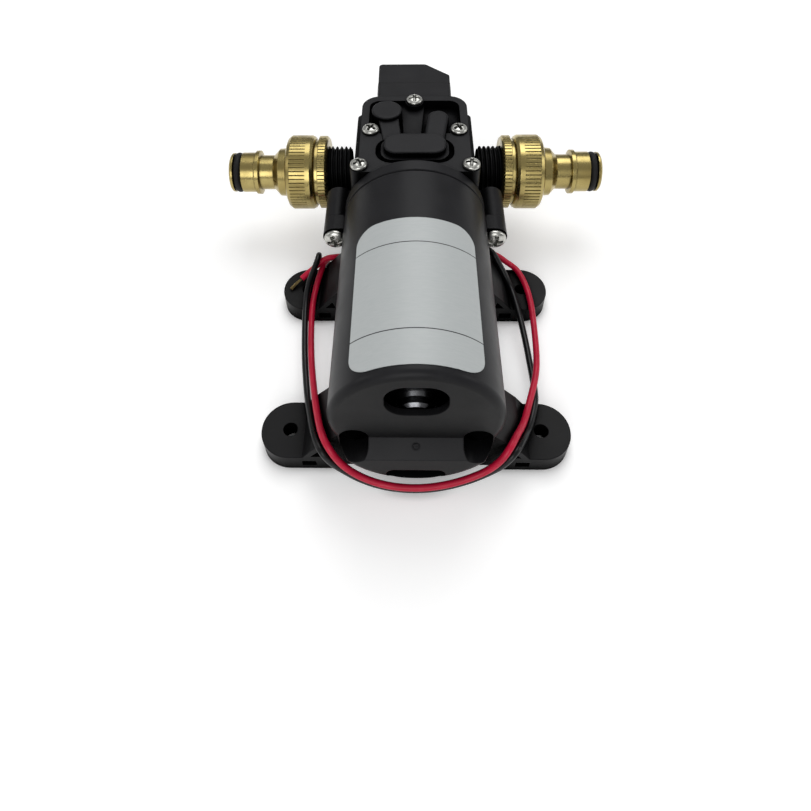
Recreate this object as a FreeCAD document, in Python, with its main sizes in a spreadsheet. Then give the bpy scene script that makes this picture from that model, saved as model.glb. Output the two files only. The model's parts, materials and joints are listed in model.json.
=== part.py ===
"""Small diaphragm pump with a motor, a pump head, a pressure switch and two hose connectors.

Millimetres. +X is the outlet side, +Y runs along the motor from its rear end to the pressure
switch, and +Z is up. The origin is the middle of the four mounting holes, on the base plane.
The motor and head pieces are drawn from one datum: the motor's axis at the joint plane, where
the sleeve meets the head.
"""

import FreeCAD
import Part
import Sketcher
import math
import os

Vector = FreeCAD.Vector

DIMENSIONS = {
    # mounting
    "hole_spacing_x": 83.0,
    "hole_spacing_y": 60.0,
    "mount_hole_radius": 2.4,
    "axis_height": 35.5,
    "rear_overhang": 12.5,
    # saddle brackets
    "foot_length": 20.0,
    "foot_plate": 7.5,
    "foot_end": 9.6,
    "foot_end_round": 9.8,
    "web_start": 36.5,
    "web_knee": 33.5,
    "web_knee_rise": 4.5,
    "web_top": 22.0,
    "web_top_height": 25.2,
    "arch_half": 27.0,
    "arch_height": 3.2,
    "arch_slant": 3.0,
    "foot_screw_radius": 1.5,
    "foot_screw_head": 2.8,
    # motor sleeve
    "sleeve_radius": 26.0,
    "sleeve_wall": 2.2,
    "sleeve_length": 81.0,
    "sleeve_end_wall": 2.2,
    "rim_round": 2.4,
    "crease_drop": 8.5,
    "knee_drop": 13.0,
    "knee_reach": 5.1,
    "slant_reach": 5.8,
    "edge_break": 0.5,
    "ear_offset": 28.8,
    "ear_radius": 4.5,
    "ear_length": 7.0,
    "vent_half_width": 9.1,
    "vent_half_height": 7.5,
    "vent_rise": 12.3,
    "vent_round": 6.4,
    "window_offset": 18.55,
    "window_half_width": 4.4,
    "window_half_height": 5.1,
    "window_drop": 9.2,
    "slot_half_width": 9.1,
    "slot_half_height": 2.7,
    "slot_drop": 21.6,
    # label
    "label_thickness": 0.2,
    "label_half_width": 18.9,
    "label_length": 54.5,
    "label_rear_gap": 3.5,
    "label_round": 6.0,
    # fasteners
    "sleeve_screw_radius": 1.9,
    "sleeve_screw_head_radius": 4.0,
    "sleeve_screw_head": 2.8,
    "sleeve_screw_grip": 11.0,
    "cover_screw_radius": 1.4,
    "cover_screw_head_radius": 3.1,
    "cover_screw_head": 2.1,
    "cover_screw_length": 19.0,
    # motor
    "can_clearance": 0.3,
    "can_wall": 1.5,
    "can_length": 71.0,
    "can_setback": 2.0,
    "boss_radius": 6.2,
    "boss_length": 5.5,
    "boss_recess_radius": 3.9,
    "front_boss_length": 1.7,
    "bush_radius": 3.2,
    "bush_length": 5.0,
    "shaft_radius": 1.6,
    "shaft_nose": 22.4,
    "running_gap": 0.05,
    "magnet_thickness": 5.0,
    "magnet_length": 42.0,
    "magnet_angle": 140.0,
    "air_gap": 0.6,
    "core_length": 30.0,
    "core_setback": 22.0,
    "core_slot_width": 3.0,
    "core_slot_depth": 7.5,
    "core_slots": 5.0,
    "winding_length": 6.0,
    "winding_gap": 0.4,
    "commutator_radius": 5.2,
    "commutator_length": 11.0,
    "brush_half": 2.2,
    "brush_length": 9.0,
    "brush_gap": 0.3,
    "holder_plate": 2.5,
    "holder_bore": 8.5,
    "terminal_offset": 11.5,
    "terminal_thickness": 0.8,
    "terminal_half": 2.4,
    "terminal_length": 4.3,
    # head
    "flange_length": 5.0,
    "register_length": 1.6,
    "register_wall": 2.4,
    "head_length": 51.0,
    "head_half_width": 22.8,
    "head_corner": 2.5,
    "seat_rise": 11.4,
    "plate_thickness": 3.6,
    "cover_thickness": 5.5,
    "boss_reach": 15.0,
    "top_boss_depth": 8.0,
    "boss_web": 2.6,
    "crank_radius": 9.4,
    "crank_depth": 25.5,
    "crank_setback": 18.5,
    # ports
    "port_setback": 35.0,
    "port_drop": 5.5,
    "neck_radius": 5.25,
    "thread_radius": 10.478,
    "thread_root": 9.35,
    "thread_start": 25.3,
    "thread_end": 39.8,
    "port_bore": 4.0,
    "port_bore_depth": 30.0,
    "riser_radius": 3.0,
    "riser_offset": 10.0,
    "riser_setback": 36.0,
    # diaphragm and crank
    "diaphragm_radius": 14.3,
    "diaphragm_thickness": 1.2,
    "clamp_width": 2.2,
    "throat_radius": 8.8,
    "diaphragm_middle": 5.4,
    "insert_radius": 3.0,
    "insert_thickness": 0.4,
    "stud_radius": 1.2,
    "stud_length": 3.4,
    "crank_throw": 1.0,
    "journal_radius": 3.5,
    "eccentric_length": 8.0,
    "bearing_radius": 6.5,
    "bearing_width": 4.0,
    "inner_ring_radius": 4.4,
    "outer_ring_bore": 5.6,
    "ball_gap": 0.1,
    "rod_ring_wall": 1.3,
    "rod_width": 5.0,
    "rod_neck": 2.5,
    "rod_flange_radius": 4.8,
    "rod_flange": 1.1,
    # valves
    "valve_offset": 5.6,
    "valve_radius": 3.4,
    "valve_thickness": 0.6,
    "stem_radius": 0.9,
    "valve_hole_radius": 0.8,
    "valve_hole_ring": 2.0,
    "pocket_radius": 12.0,
    "pocket_depth": 2.0,
    # cover
    "cover_half_width": 20.4,
    "cover_gap": 0.3,
    "cover_end_gap": 0.4,
    "cover_corner": 7.0,
    "rim_width": 3.0,
    "recess_depth": 4.0,
    "recess_start": 27.0,
    "screw_tower": 3.5,
    "lower_screw_x": 20.0,
    "lower_screw_back": 10.0,
    "middle_screw_x": 16.5,
    "middle_screw_forward": 10.2,
    "top_screw_inset": 3.9,
    "disc_radius": 5.8,
    "disc_offset": 10.7,
    "disc_setback": 39.3,
    "disc_rise": 2.0,
    "tube_radius": 4.1,
    "tube_offset": 8.9,
    "tube_setback": 35.7,
    "tube_rise": 1.4,
    "channel_rise": 0.5,
    "channel_left_far": 3.9,
    "channel_left_near": 1.0,
    "channel_right_near": 5.9,
    "channel_right_far": 4.2,
    "channel_round": 0.45,
    "tube_round": 1.3,
    "plateau_half_width": 11.3,
    "plateau_half_length": 5.6,
    "plateau_round": 3.0,
    "plateau_corner": 4.6,
    "plateau_rise": 2.4,
    "moat_half_width": 14.3,
    "moat_half_length": 7.0,
    "moat_depth": 3.4,
    "moat_round": 6.0,
    "ledge_half_width": 12.4,
    "ledge_half_length": 6.2,
    "ledge_round": 4.5,
    "web_floor_rise": 1.8,
    "web_left_far": 5.2,
    "web_left_near": 4.0,
    "web_right_near": 2.1,
    "web_right_far": 3.9,
    "chamber_depth": 1.6,
    "seal_radius": 0.6,
    # pressure switch
    "switch_half_width": 15.4,
    "switch_half_height": 19.5,
    "switch_length": 18.7,
    "switch_corner": 1.5,
    "tower_reach": 7.3,
    "tower_half_height": 4.2,
    "tower_length": 16.2,
    "tower_round": 2.4,
    "switch_screw_radius": 1.5,
    "switch_screw_head_radius": 2.9,
    "switch_screw_head": 2.0,
    "switch_screw_grip": 9.0,
    "cap_length": 14.5,
    "cap_inset": 0.25,
    "cap_wall": 2.0,
    "cut_corner_x": 10.2,
    "cut_corner_y": 8.6,
    "switch_seat_radius": 9.0,
    "sensing_thickness": 1.5,
    "plunger_head_radius": 4.6,
    "plunger_head": 2.0,
    "plunger_stem_radius": 2.0,
    "plunger_length": 15.2,
    "plunger_inset": 15.0,
    "plunger_travel": 1.0,
    "plunger_bore": 2.05,
    "spring_chamber_radius": 6.4,
    "spring_chamber_depth": 11.0,
    "spring_radius": 3.7,
    "spring_wire": 0.45,
    "spring_turns": 5.0,
    "microswitch_half_width": 5.5,
    "microswitch_half_height": 9.0,
    "microswitch_depth": 7.0,
    "grommet_radius": 4.6,
    "grommet_lip": 1.2,
    "grommet_offset": 6.5,
    # connectors
    "reducer_start": 34.5,
    "reducer_rim": 3.6,
    "reducer_rim_radius": 14.75,
    "reducer_male_radius": 13.22,
    "reducer_male_length": 9.2,
    "reducer_bore": 7.5,
    "thread_gap": 0.05,
    "nut_gap": 1.5,
    "nut_length": 11.6,
    "nut_radius": 15.0,
    "nut_wall": 2.5,
    "nut_shoulder": 1.4,
    "washer_thickness": 2.0,
    "washer_gap": 0.3,
    "washer_radius": 12.9,
    "flare_length": 5.8,
    "flare_radius": 9.9,
    "neck_length": 5.4,
    "spigot_neck_radius": 7.0,
    "bead_length": 2.1,
    "bead_radius": 8.9,
    "barrel_length": 5.4,
    "barrel_radius": 8.1,
    "groove_length": 3.4,
    "groove_radius": 5.3,
    "lip_length": 1.3,
    "lip_radius": 7.95,
    "spigot_bore": 4.0,
    "oring_wire": 1.4,
    "knurl_count": 60.0,
    "knurl_depth": 0.4,
    "knurl_zone": 6.2,
    # leads
    "lead_radius": 1.15,
    "lead_gap": 3.4,
    "lead_drop": 7.4,
    "strand_radius": 0.6,
    "pocket_half_width": 2.3,
    "pocket_half_height": 1.5,
    "pocket_round": 0.4,
    "grub_hole_radius": 0.9,
    "grub_radius": 0.85,
    "mouth_round": 0.9,
    "sensing_hole": 1.2,
    "disc_round": 0.7,
    "chamber_round": 1.0,
    "riser_roof": 0.6,
    "cap_round": 1.8,
    "microswitch_shift": 3.5,
    "microswitch_round": 0.6,
    "switch_rest_half_width": 4.0,
}

# Routes of the two leads after they leave the switch, chosen by hand: x, y, z in the object's
# own frame. They run on the floor under the head, over the saddles and round the motor's rear.
RED_ROUTE = [
    (9.6, 105.0, 1.5), (12.8, 93.0, 1.3), (16.4, 79.0, 1.3), (20.4, 66.5, 2.0), (24.6, 56.4, 4.8),
    (28.4, 49.2, 9.0), (31.2, 44.2, 12.6), (33.9, 41.8, 13.0), (36.2, 41.3, 11.0),
    (38.6, 41.2, 9.0), (40.8, 38.8, 8.8), (42.6, 33.8, 8.8), (43.8, 27.6, 8.8), (44.3, 20.3, 8.8),
    (43.9, 9.3, 8.8), (43.0, 0.1, 9.6), (41.8, -6.6, 10.8), (40.6, -11.8, 11.2),
    (39.0, -16.5, 10.4), (37.4, -21.4, 9.6), (35.9, -26.6, 10.6), (34.1, -31.6, 13.3),
    (31.7, -36.3, 16.4), (29.6, -40.6, 19.0), (26.8, -43.8, 15.8), (22.8, -45.2, 11.0),
    (17.5, -46.6, 8.6), (11.0, -48.2, 7.4), (3.5, -49.3, 6.9), (-4.3, -49.4, 7.0),
    (-11.7, -48.5, 7.9), (-18.2, -46.9, 10.2), (-22.9, -45.4, 14.4), (-25.8, -43.6, 18.8),
    (-28.4, -40.0, 20.7), (-30.4, -34.4, 18.1), (-32.1, -27.9, 15.6), (-33.5, -21.8, 13.9),
    (-35.2, -13.4, 11.3), (-36.7, -5.1, 9.6), (-37.7, 2.6, 8.9), (-38.5, 11.2, 8.7),
    (-39.0, 20.4, 8.8), (-38.6, 27.8, 8.8), (-37.9, 33.4, 9.0), (-37.0, 37.8, 9.8),
    (-36.0, 42.0, 10.1), (-33.6, 45.8, 8.6), (-29.8, 47.4, 7.4), (-26.8, 45.6, 8.6),
    (-27.6, 42.5, 11.4), (-31.8, 41.7, 13.5), (-35.4, 40.7, 13.4), (-38.3, 38.4, 12.1),
    (-41.2, 35.9, 11.2), (-44.3, 33.2, 9.9),
]
BLACK_ROUTE = [
    (5.8, 105.0, 1.5), (8.2, 94.0, 1.3), (11.8, 81.0, 1.3), (15.6, 69.0, 1.8), (19.6, 58.8, 4.0),
    (23.4, 51.6, 7.2), (26.0, 46.4, 12.4), (28.0, 42.6, 17.8), (30.5, 39.2, 18.5),
    (32.6, 37.0, 15.2), (34.5, 34.6, 12.8), (36.3, 31.8, 10.2), (37.7, 27.6, 9.0),
    (38.8, 20.3, 8.8), (39.8, 13.1, 8.0), (40.6, 4.8, 7.2), (41.0, -3.4, 6.9), (41.6, -10.1, 7.1),
    (41.8, -16.7, 8.6), (41.2, -20.9, 9.0), (39.3, -25.9, 9.0), (37.0, -31.2, 10.1),
    (34.1, -36.7, 13.8), (31.0, -41.8, 16.6), (27.6, -44.1, 12.8), (23.1, -44.6, 7.8),
    (17.2, -45.9, 4.9), (10.5, -47.3, 3.6), (3.3, -48.2, 3.0), (-4.3, -48.2, 3.0),
    (-11.6, -47.4, 3.8), (-18.2, -46.0, 6.0), (-23.1, -44.8, 9.8), (-26.6, -44.3, 14.0),
    (-29.1, -42.9, 17.9), (-31.9, -38.0, 16.9), (-33.9, -32.2, 14.1), (-35.9, -25.1, 11.0),
    (-37.6, -18.3, 9.1), (-38.8, -12.0, 8.9), (-39.9, -4.6, 8.6), (-40.8, 2.7, 8.5),
    (-41.4, 11.2, 8.6), (-41.7, 20.4, 8.8), (-41.5, 27.7, 8.8), (-40.9, 33.4, 8.8),
    (-39.6, 37.9, 8.8), (-38.6, 41.4, 8.6), (-37.2, 44.6, 5.4), (-35.2, 47.2, 2.6),
]
RED_STRAND_ROUTE = [(-44.3, 33.2, 9.9), (-46.6, 31.2, 8.94), (-48.2, 29.2, 8.3)]
BLACK_STRAND_ROUTE = [(-35.2, 47.2, 2.6), (-34.2, 48.5, 1.2), (-31.9, 49.9, 0.9)]


class Size:
    """A length that carries both its value and its formula over the sheet's cells."""

    def __init__(self, value, formula):
        self.value = value
        self.formula = formula

    def __add__(self, other):
        return Size(self.value + number(other), f"({self.formula} + {text(other)})")

    def __radd__(self, other):
        return Size(number(other) + self.value, f"({text(other)} + {self.formula})")

    def __sub__(self, other):
        return Size(self.value - number(other), f"({self.formula} - {text(other)})")

    def __rsub__(self, other):
        return Size(number(other) - self.value, f"({text(other)} - {self.formula})")

    def __mul__(self, other):
        return Size(self.value * number(other), f"({self.formula} * {text(other)})")

    def __rmul__(self, other):
        return Size(number(other) * self.value, f"({text(other)} * {self.formula})")

    def __truediv__(self, other):
        return Size(self.value / number(other), f"({self.formula} / {text(other)})")

    def __neg__(self):
        return Size(-self.value, f"(0 - {self.formula})")


def number(size):
    """The plain value of a Size or of a number."""
    return size.value if isinstance(size, Size) else float(size)


def text(size):
    """The formula of a Size, or a number as text."""
    return size.formula if isinstance(size, Size) else repr(float(size))


doc = FreeCAD.newDocument("diaphragm_pump")
sheet = doc.addObject("Spreadsheet::Sheet", "Dims")


def fill_sheet():
    """Write each driving dimension to its own cell and return the sizes by name."""
    sizes = {}
    for row, (name, value) in enumerate(DIMENSIONS.items(), start=1):
        sheet.set(f"A{row}", name)
        sheet.set(f"B{row}", str(value))
        sheet.setAlias(f"B{row}", name)
        sizes[name] = Size(value, "Dims." + name)
    doc.recompute()
    return sizes


class Names:
    """The driving dimensions as attributes."""

    def __init__(self, sizes):
        self.__dict__.update(sizes)


d = Names(fill_sheet())
joint_y = d.sleeve_length - d.rear_overhang - d.hole_spacing_y / 2
ZERO = Size(0, "0")
SUBPARTS = []


def bind(target, path, size):
    """Tie a property to its formula, or set it where it is a plain number."""
    target.setExpression(path, text(size))


def new_body(label, x=0, y=0, z=0, yaw=0):
    """A body with its own label, placed in the object's frame."""
    body = doc.addObject("PartDesign::Body", label)
    body.Label = label
    body.Placement = FreeCAD.Placement(Vector(0, 0, 0), FreeCAD.Rotation(Vector(0, 0, 1), yaw))
    bind(body, "Placement.Base.x", x)
    bind(body, "Placement.Base.y", y)
    bind(body, "Placement.Base.z", z)
    SUBPARTS.append(body)
    return body


def pump_body(label):
    """A body drawn from the motor's axis at the joint plane."""
    return new_body(label, 0, joint_y, d.axis_height)


def origin_feature(body, role):
    """One of the body's own origin planes or axes."""
    return [feature for feature in body.Origin.OriginFeatures if feature.Role == role][0]


def new_sketch(body, plane, level=0):
    """A sketch on one of the body's planes, at the given coordinate along the plane's axis."""
    sketch = body.newObject("Sketcher::SketchObject", body.Name + "_sketch")
    sketch.AttachmentSupport = (origin_feature(body, plane), [""])
    sketch.MapMode = "FlatFace"
    shift = 0 - level if plane == "XZ_Plane" else level
    bind(sketch, "AttachmentOffset.Base.z", shift)
    return sketch


def fix_point(sketch, index, position, u, v):
    """Hold a point of the sketch's geometry at (u, v)."""
    for kind, axis, size in (("DistanceX", -2, u), ("DistanceY", -1, v)):
        if isinstance(size, Size) or float(size) != 0.0:
            row = sketch.addConstraint(Sketcher.Constraint(kind, -1, 1, index, position, number(size)))
            bind(sketch, f"Constraints[{row}]", size)
        else:
            sketch.addConstraint(Sketcher.Constraint("PointOnObject", index, position, axis))


def fix_radius(sketch, index, radius):
    row = sketch.addConstraint(Sketcher.Constraint("Radius", index, number(radius)))
    bind(sketch, f"Constraints[{row}]", radius)


def polygon(points):
    """A closed outline of straight edges."""

    def draw(sketch):
        first = sketch.GeometryCount
        count = len(points)
        corners = [Vector(number(u), number(v), 0) for u, v in points]
        for i in range(count):
            sketch.addGeometry(Part.LineSegment(corners[i], corners[(i + 1) % count]), False)
        for i in range(count):
            after = first + (i + 1) % count
            sketch.addConstraint(Sketcher.Constraint("Coincident", first + i, 2, after, 1))
        for i, (u, v) in enumerate(points):
            fix_point(sketch, first + i, 1, u, v)

    return draw


def circle(u, v, radius):
    """A full circle."""

    def draw(sketch):
        centre = Vector(number(u), number(v), 0)
        index = sketch.addGeometry(Part.Circle(centre, Vector(0, 0, 1), number(radius)), False)
        fix_point(sketch, index, 3, u, v)
        fix_radius(sketch, index, radius)

    return draw


def rounded(u, v, half_u, half_v, radius):
    """A rectangle with four round corners, centred on (u, v)."""

    def draw(sketch):
        first = sketch.GeometryCount
        corners = [(1, 1), (-1, 1), (-1, -1), (1, -1)]
        spots = []
        for side_u, side_v in corners:
            spots.append((u + side_u * (half_u - radius), v + side_v * (half_v - radius)))
        r = number(radius)
        for i, (cu, cv) in enumerate(spots):
            centre = Vector(number(cu), number(cv), 0)
            ring = Part.Circle(centre, Vector(0, 0, 1), r)
            arc = Part.ArcOfCircle(ring, i * math.pi / 2, (i + 1) * math.pi / 2)
            sketch.addGeometry(arc, False)
        for i in range(4):
            begin = sketch.Geometry[first + i].EndPoint
            end = sketch.Geometry[first + (i + 1) % 4].StartPoint
            sketch.addGeometry(Part.LineSegment(begin, end), False)
        for i in range(4):
            side = first + 4 + i
            after = first + (i + 1) % 4
            sketch.addConstraint(Sketcher.Constraint("Tangent", first + i, 2, side, 1))
            sketch.addConstraint(Sketcher.Constraint("Tangent", side, 2, after, 1))
        for i, (cu, cv) in enumerate(spots):
            fix_point(sketch, first + i, 3, cu, cv)
            fix_radius(sketch, first + i, radius)

    return draw


def prism(body, kind, plane, low, high, outlines):
    """Pad or pocket the outlines from low to high along the plane's axis."""
    sketch = new_sketch(body, plane, low)
    for outline in outlines:
        outline(sketch)
    feature = body.newObject("PartDesign::" + kind, body.Name + "_" + kind.lower())
    feature.Profile = sketch
    bind(feature, "Length", high - low)
    normal_is_negative = plane == "XZ_Plane"
    feature.Reversed = normal_is_negative if kind == "Pad" else not normal_is_negative
    return feature


def pad(body, plane, low, high, *outlines):
    return prism(body, "Pad", plane, low, high, outlines)


def pocket(body, plane, low, high, *outlines):
    return prism(body, "Pocket", plane, low, high, outlines)


TURNING = {"x": ("XY_Plane", "H_Axis"), "y": ("YZ_Plane", "H_Axis"), "z": ("XZ_Plane", "V_Axis")}


def revolve(body, kind, axis, points, across=0):
    """Turn a profile of (along, radius) points round the body's own x, y or z axis."""
    plane, reference = TURNING[axis]
    sketch = new_sketch(body, plane)
    if axis == "z":
        bind(sketch, "AttachmentOffset.Base.z", 0 - across)
        points = [(radius, along) for along, radius in points]
    polygon(points)(sketch)
    feature = body.newObject("PartDesign::" + kind, body.Name + "_" + kind.lower())
    feature.Profile = sketch
    feature.ReferenceAxis = (sketch, [reference])
    feature.Angle = 360
    return feature


def turn(body, axis, points, across=0):
    return revolve(body, "Revolution", axis, points, across)


def groove(body, axis, points, across=0):
    return revolve(body, "Groove", axis, points, across)


def repeat_round(body, feature, axis, count):
    """Repeat a feature round one of the body's own axes."""
    pattern = body.newObject("PartDesign::PolarPattern", body.Name + "_pattern")
    pattern.Originals = [feature]
    pattern.Axis = (origin_feature(body, axis), [""])
    pattern.Angle = 360
    bind(pattern, "Occurrences", count)
    body.Tip = pattern
    return pattern


def soften(body, radius, chosen, kind="Fillet"):
    """Fillet or chamfer the edges of the body that pass the test."""
    doc.recompute()
    base = body.Tip
    names = [f"Edge{i}" for i, edge in enumerate(base.Shape.Edges, start=1) if chosen(edge)]
    if not names:
        raise RuntimeError("no edge to soften on " + body.Label)
    feature = body.newObject("PartDesign::" + kind, body.Name + "_" + kind.lower())
    feature.Base = (base, names)
    bind(feature, "Radius" if kind == "Fillet" else "Size", radius)
    return feature


def middle(edge):
    """The point halfway along an edge."""
    return edge.valueAt((edge.FirstParameter + edge.LastParameter) / 2)


def runs_along(edge, axis):
    """True where the edge is straight and parallel to the axis."""
    ends = edge.Vertexes
    if len(ends) != 2 or edge.Curve.TypeId != "Part::GeomLine":
        return False
    way = ends[1].Point - ends[0].Point
    return abs(abs(way.dot(axis)) - way.Length) < 1e-6


def flat_at(edge, level, reach=0.02):
    """True where the whole edge lies at this height."""
    box = edge.BoundBox
    return abs(box.ZMin - level) < reach and abs(box.ZMax - level) < reach


UP = Vector(0, 0, 1)
ALONG = Vector(0, 1, 0)


# Saddle brackets


def make_foot(label, y):
    """A moulded saddle: two round ears, rising webs and an arched underside."""
    body = new_body(label, 0, y, 0)
    half = d.foot_length / 2
    reach = d.hole_spacing_x / 2 + d.foot_end
    right = [
        (d.arch_half - d.arch_slant, d.arch_height),
        (d.arch_half, 0),
        (reach, 0),
        (reach, d.foot_plate),
        (d.web_start, d.foot_plate),
        (d.web_knee, d.foot_plate + d.web_knee_rise),
        (d.web_top, d.web_top_height),
    ]
    left = [(0 - x, z) for x, z in reversed(right)]
    pad(body, "XZ_Plane", 0 - half, half, polygon(right + left))
    pocket(body, "XZ_Plane", 0 - half, half, circle(0, d.axis_height, d.sleeve_radius))
    soften(body, d.foot_end_round, lambda edge: runs_along(edge, UP)
           and abs(middle(edge).x) > number(d.hole_spacing_x) / 2)
    holes = [circle(side * d.hole_spacing_x / 2, 0, d.mount_hole_radius) for side in (-1, 1)]
    pocket(body, "XY_Plane", 0, d.foot_plate, *holes)
    pocket(body, "XY_Plane", 0, d.axis_height, circle(0, 0, d.foot_screw_radius))
    for side in (-1, 1):
        mark = rounded(side * (d.web_start - 1.9), d.foot_plate / 2, d.pocket_half_width,
                       d.pocket_half_height, d.pocket_round)
        pocket(body, "XZ_Plane", 0 - half, 1.2 - half, mark)
        corner = [
            (side * (d.web_knee + 0.4), d.foot_plate + 0.8),
            (side * (d.web_knee - 3.6), d.foot_plate + 0.8),
            (side * (d.web_knee - 2.4), d.foot_plate + 4.2),
        ]
        pocket(body, "XZ_Plane", 0 - half, 3.0 - half, polygon(corner if side > 0 else corner[::-1]))
    return body


def make_foot_screws():
    """Two self-tapping screws, one under each saddle."""
    heads = []
    for name, side in (("rear", -1), ("front", 1)):
        screw = doc.addObject("Part::Cylinder", name + "_foot_screw_shank")
        bind(screw, "Radius", d.foot_screw_radius)
        bind(screw, "Height", d.axis_height - d.sleeve_radius + d.sleeve_wall - d.arch_height)
        bind(screw, "Placement.Base.y", side * d.hole_spacing_y / 2)
        bind(screw, "Placement.Base.z", d.arch_height)
        head = doc.addObject("Part::Cone", name + "_foot_screw_head")
        bind(head, "Radius1", d.foot_screw_head - 0.6)
        bind(head, "Radius2", d.foot_screw_head)
        bind(head, "Height", d.arch_height / 2)
        bind(head, "Placement.Base.y", side * d.hole_spacing_y / 2)
        bind(head, "Placement.Base.z", d.arch_height / 2)
        both = doc.addObject("Part::Fuse", name + "_foot_screw")
        both.Base = screw
        both.Tool = head
        heads.append(both)
    return gather("foot_screws", heads)


def gather(label, pieces):
    """Several like solids that share one node."""
    group = doc.addObject("Part::Compound", label)
    group.Label = label
    group.Links = pieces
    SUBPARTS.append(group)
    return group


# Motor sleeve, label and its screws


def make_sleeve():
    """A moulded cup with a slanted lower rear end, a vent, two windows, a slot and two ears."""
    body = pump_body("motor_sleeve")
    rear = 0 - d.sleeve_length
    tip = rear - d.slant_reach
    radius = d.sleeve_radius
    pad(body, "XZ_Plane", tip, ZERO, circle(0, 0, radius))
    past = radius * 2
    side_view = [
        (rear, past),
        (rear, 0 - d.crease_drop),
        (rear - d.knee_reach, 0 - d.knee_drop),
        (tip, 0 - radius),
        (tip, 0 - past),
        (tip - past, 0 - past),
        (tip - past, past),
    ]
    pocket(body, "YZ_Plane", 0 - past, past, polygon(side_view))
    across = Vector(1, 0, 0)
    soften(body, d.rim_round, lambda edge: middle(edge).y < rear.value + 0.01 and not runs_along(edge, across))
    ears = []
    for side in (-1, 1):
        ears.append(circle(side * d.ear_offset, 0, d.ear_radius))
    pad(body, "XZ_Plane", 0 - d.ear_length, ZERO, *ears)
    necks = []
    for side in (-1, 1):
        inner = side * (radius - d.sleeve_wall)
        outer = side * d.ear_offset
        low = 0 - d.ear_radius
        corners = [(inner, low), (outer, low), (outer, d.ear_radius), (inner, d.ear_radius)]
        necks.append(polygon(corners if side > 0 else corners[::-1]))
    pad(body, "XZ_Plane", 0 - d.ear_length, ZERO, *necks)
    inner_end = rear + d.sleeve_end_wall
    pocket(body, "XZ_Plane", inner_end, ZERO, circle(0, 0, radius - d.sleeve_wall))
    vent = rounded(ZERO, d.vent_rise, d.vent_half_width, d.vent_half_height, d.vent_round)
    windows = [
        rounded(side * d.window_offset, 0 - d.window_drop, d.window_half_width, d.window_half_height,
                d.window_half_width - 0.05)
        for side in (-1, 1)
    ]
    slot = rounded(ZERO, 0 - d.slot_drop, d.slot_half_width, d.slot_half_height,
                   d.slot_half_height - 0.05)
    pocket(body, "XZ_Plane", tip - 1, inner_end + 0.01, vent, slot, *windows)
    screw_holes = [circle(side * d.ear_offset, 0, d.sleeve_screw_radius) for side in (-1, 1)]
    pocket(body, "XZ_Plane", 0 - d.ear_length, ZERO, *screw_holes)
    head_room = d.ear_length + d.sleeve_screw_head + 0.3
    seats = [circle(side * d.ear_offset, 0, d.sleeve_screw_head_radius + 0.1) for side in (-1, 1)]
    pocket(body, "XZ_Plane", 0 - head_room, 0 - d.ear_length, *seats)
    past_edge = radius + 0.3
    slope = d.edge_break + 0.3
    groove(body, "y", [(0 - slope, past_edge), (0, radius - d.edge_break), (0, past_edge)])
    for side in (-1, 1):
        y = d.sleeve_length - d.rear_overhang - d.hole_spacing_y / 2
        foot_y = side * d.hole_spacing_y / 2 - y
        pocket(body, "XY_Plane", 0 - radius - 1, 2 - radius + d.sleeve_wall,
               circle(0, foot_y, d.foot_screw_radius))
    return body


def make_label():
    """A thin sheet wrapped over the sleeve's top, with round corners."""
    body = pump_body("blank_label")
    rear = d.label_rear_gap - d.sleeve_length
    centre = rear + d.label_length / 2
    outer = d.sleeve_radius + d.label_thickness
    pad(body, "XY_Plane", ZERO, outer + 1,
        rounded(ZERO, centre, d.label_half_width, d.label_length / 2, d.label_round))
    front = rear + d.label_length
    pocket(body, "XZ_Plane", rear - 1, front + 1, circle(0, 0, d.sleeve_radius))
    pocket(body, "XZ_Plane", rear - 1, front + 1, circle(0, 0, outer), circle(0, 0, outer * 3))
    return body


def screw_group(label, axis, spots, head_radius, head, radius, length, flip=1):
    """Identical pan-head screws at the given places, as one node."""
    pieces = []
    for i, (x, y, z) in enumerate(spots, start=1):
        shank = doc.addObject("Part::Cylinder", f"{label}_shank_{i}")
        bind(shank, "Radius", radius)
        bind(shank, "Height", length + head * 0.5)
        cap = doc.addObject("Part::Cone", f"{label}_head_{i}")
        bind(cap, "Radius1", head_radius)
        bind(cap, "Radius2", head_radius * 0.62)
        bind(cap, "Height", head * 0.55)
        bind(cap, "Placement.Base.z", length + head * 0.45)
        flat = doc.addObject("Part::Cylinder", f"{label}_rim_{i}")
        bind(flat, "Radius", head_radius)
        bind(flat, "Height", head * 0.45)
        bind(flat, "Placement.Base.z", length)
        whole = doc.addObject("Part::MultiFuse", f"{label}_{i}")
        whole.Shapes = [shank, cap, flat]
        if axis == "y":
            whole.Placement.Rotation = FreeCAD.Rotation(Vector(1, 0, 0), 90 * flip)
        bind(whole, "Placement.Base.x", x)
        bind(whole, "Placement.Base.y", y)
        bind(whole, "Placement.Base.z", z)
        pieces.append(whole)
    return gather(label, pieces)


def make_sleeve_screws():
    """Two long screws through the sleeve's ears, with their heads towards the motor's rear."""
    length = d.ear_length + d.sleeve_screw_grip
    spots = [
        (side * d.ear_offset, joint_y + d.sleeve_screw_grip, d.axis_height)
        for side in (-1, 1)
    ]
    return screw_group("sleeve_screws", "y", spots, d.sleeve_screw_head_radius, d.sleeve_screw_head,
                       d.sleeve_screw_radius, length, flip=1)


# Motor


def can_rear():
    return 0 - d.can_setback - d.can_length


def can_radius():
    return d.sleeve_radius - d.sleeve_wall - d.can_clearance


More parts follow.
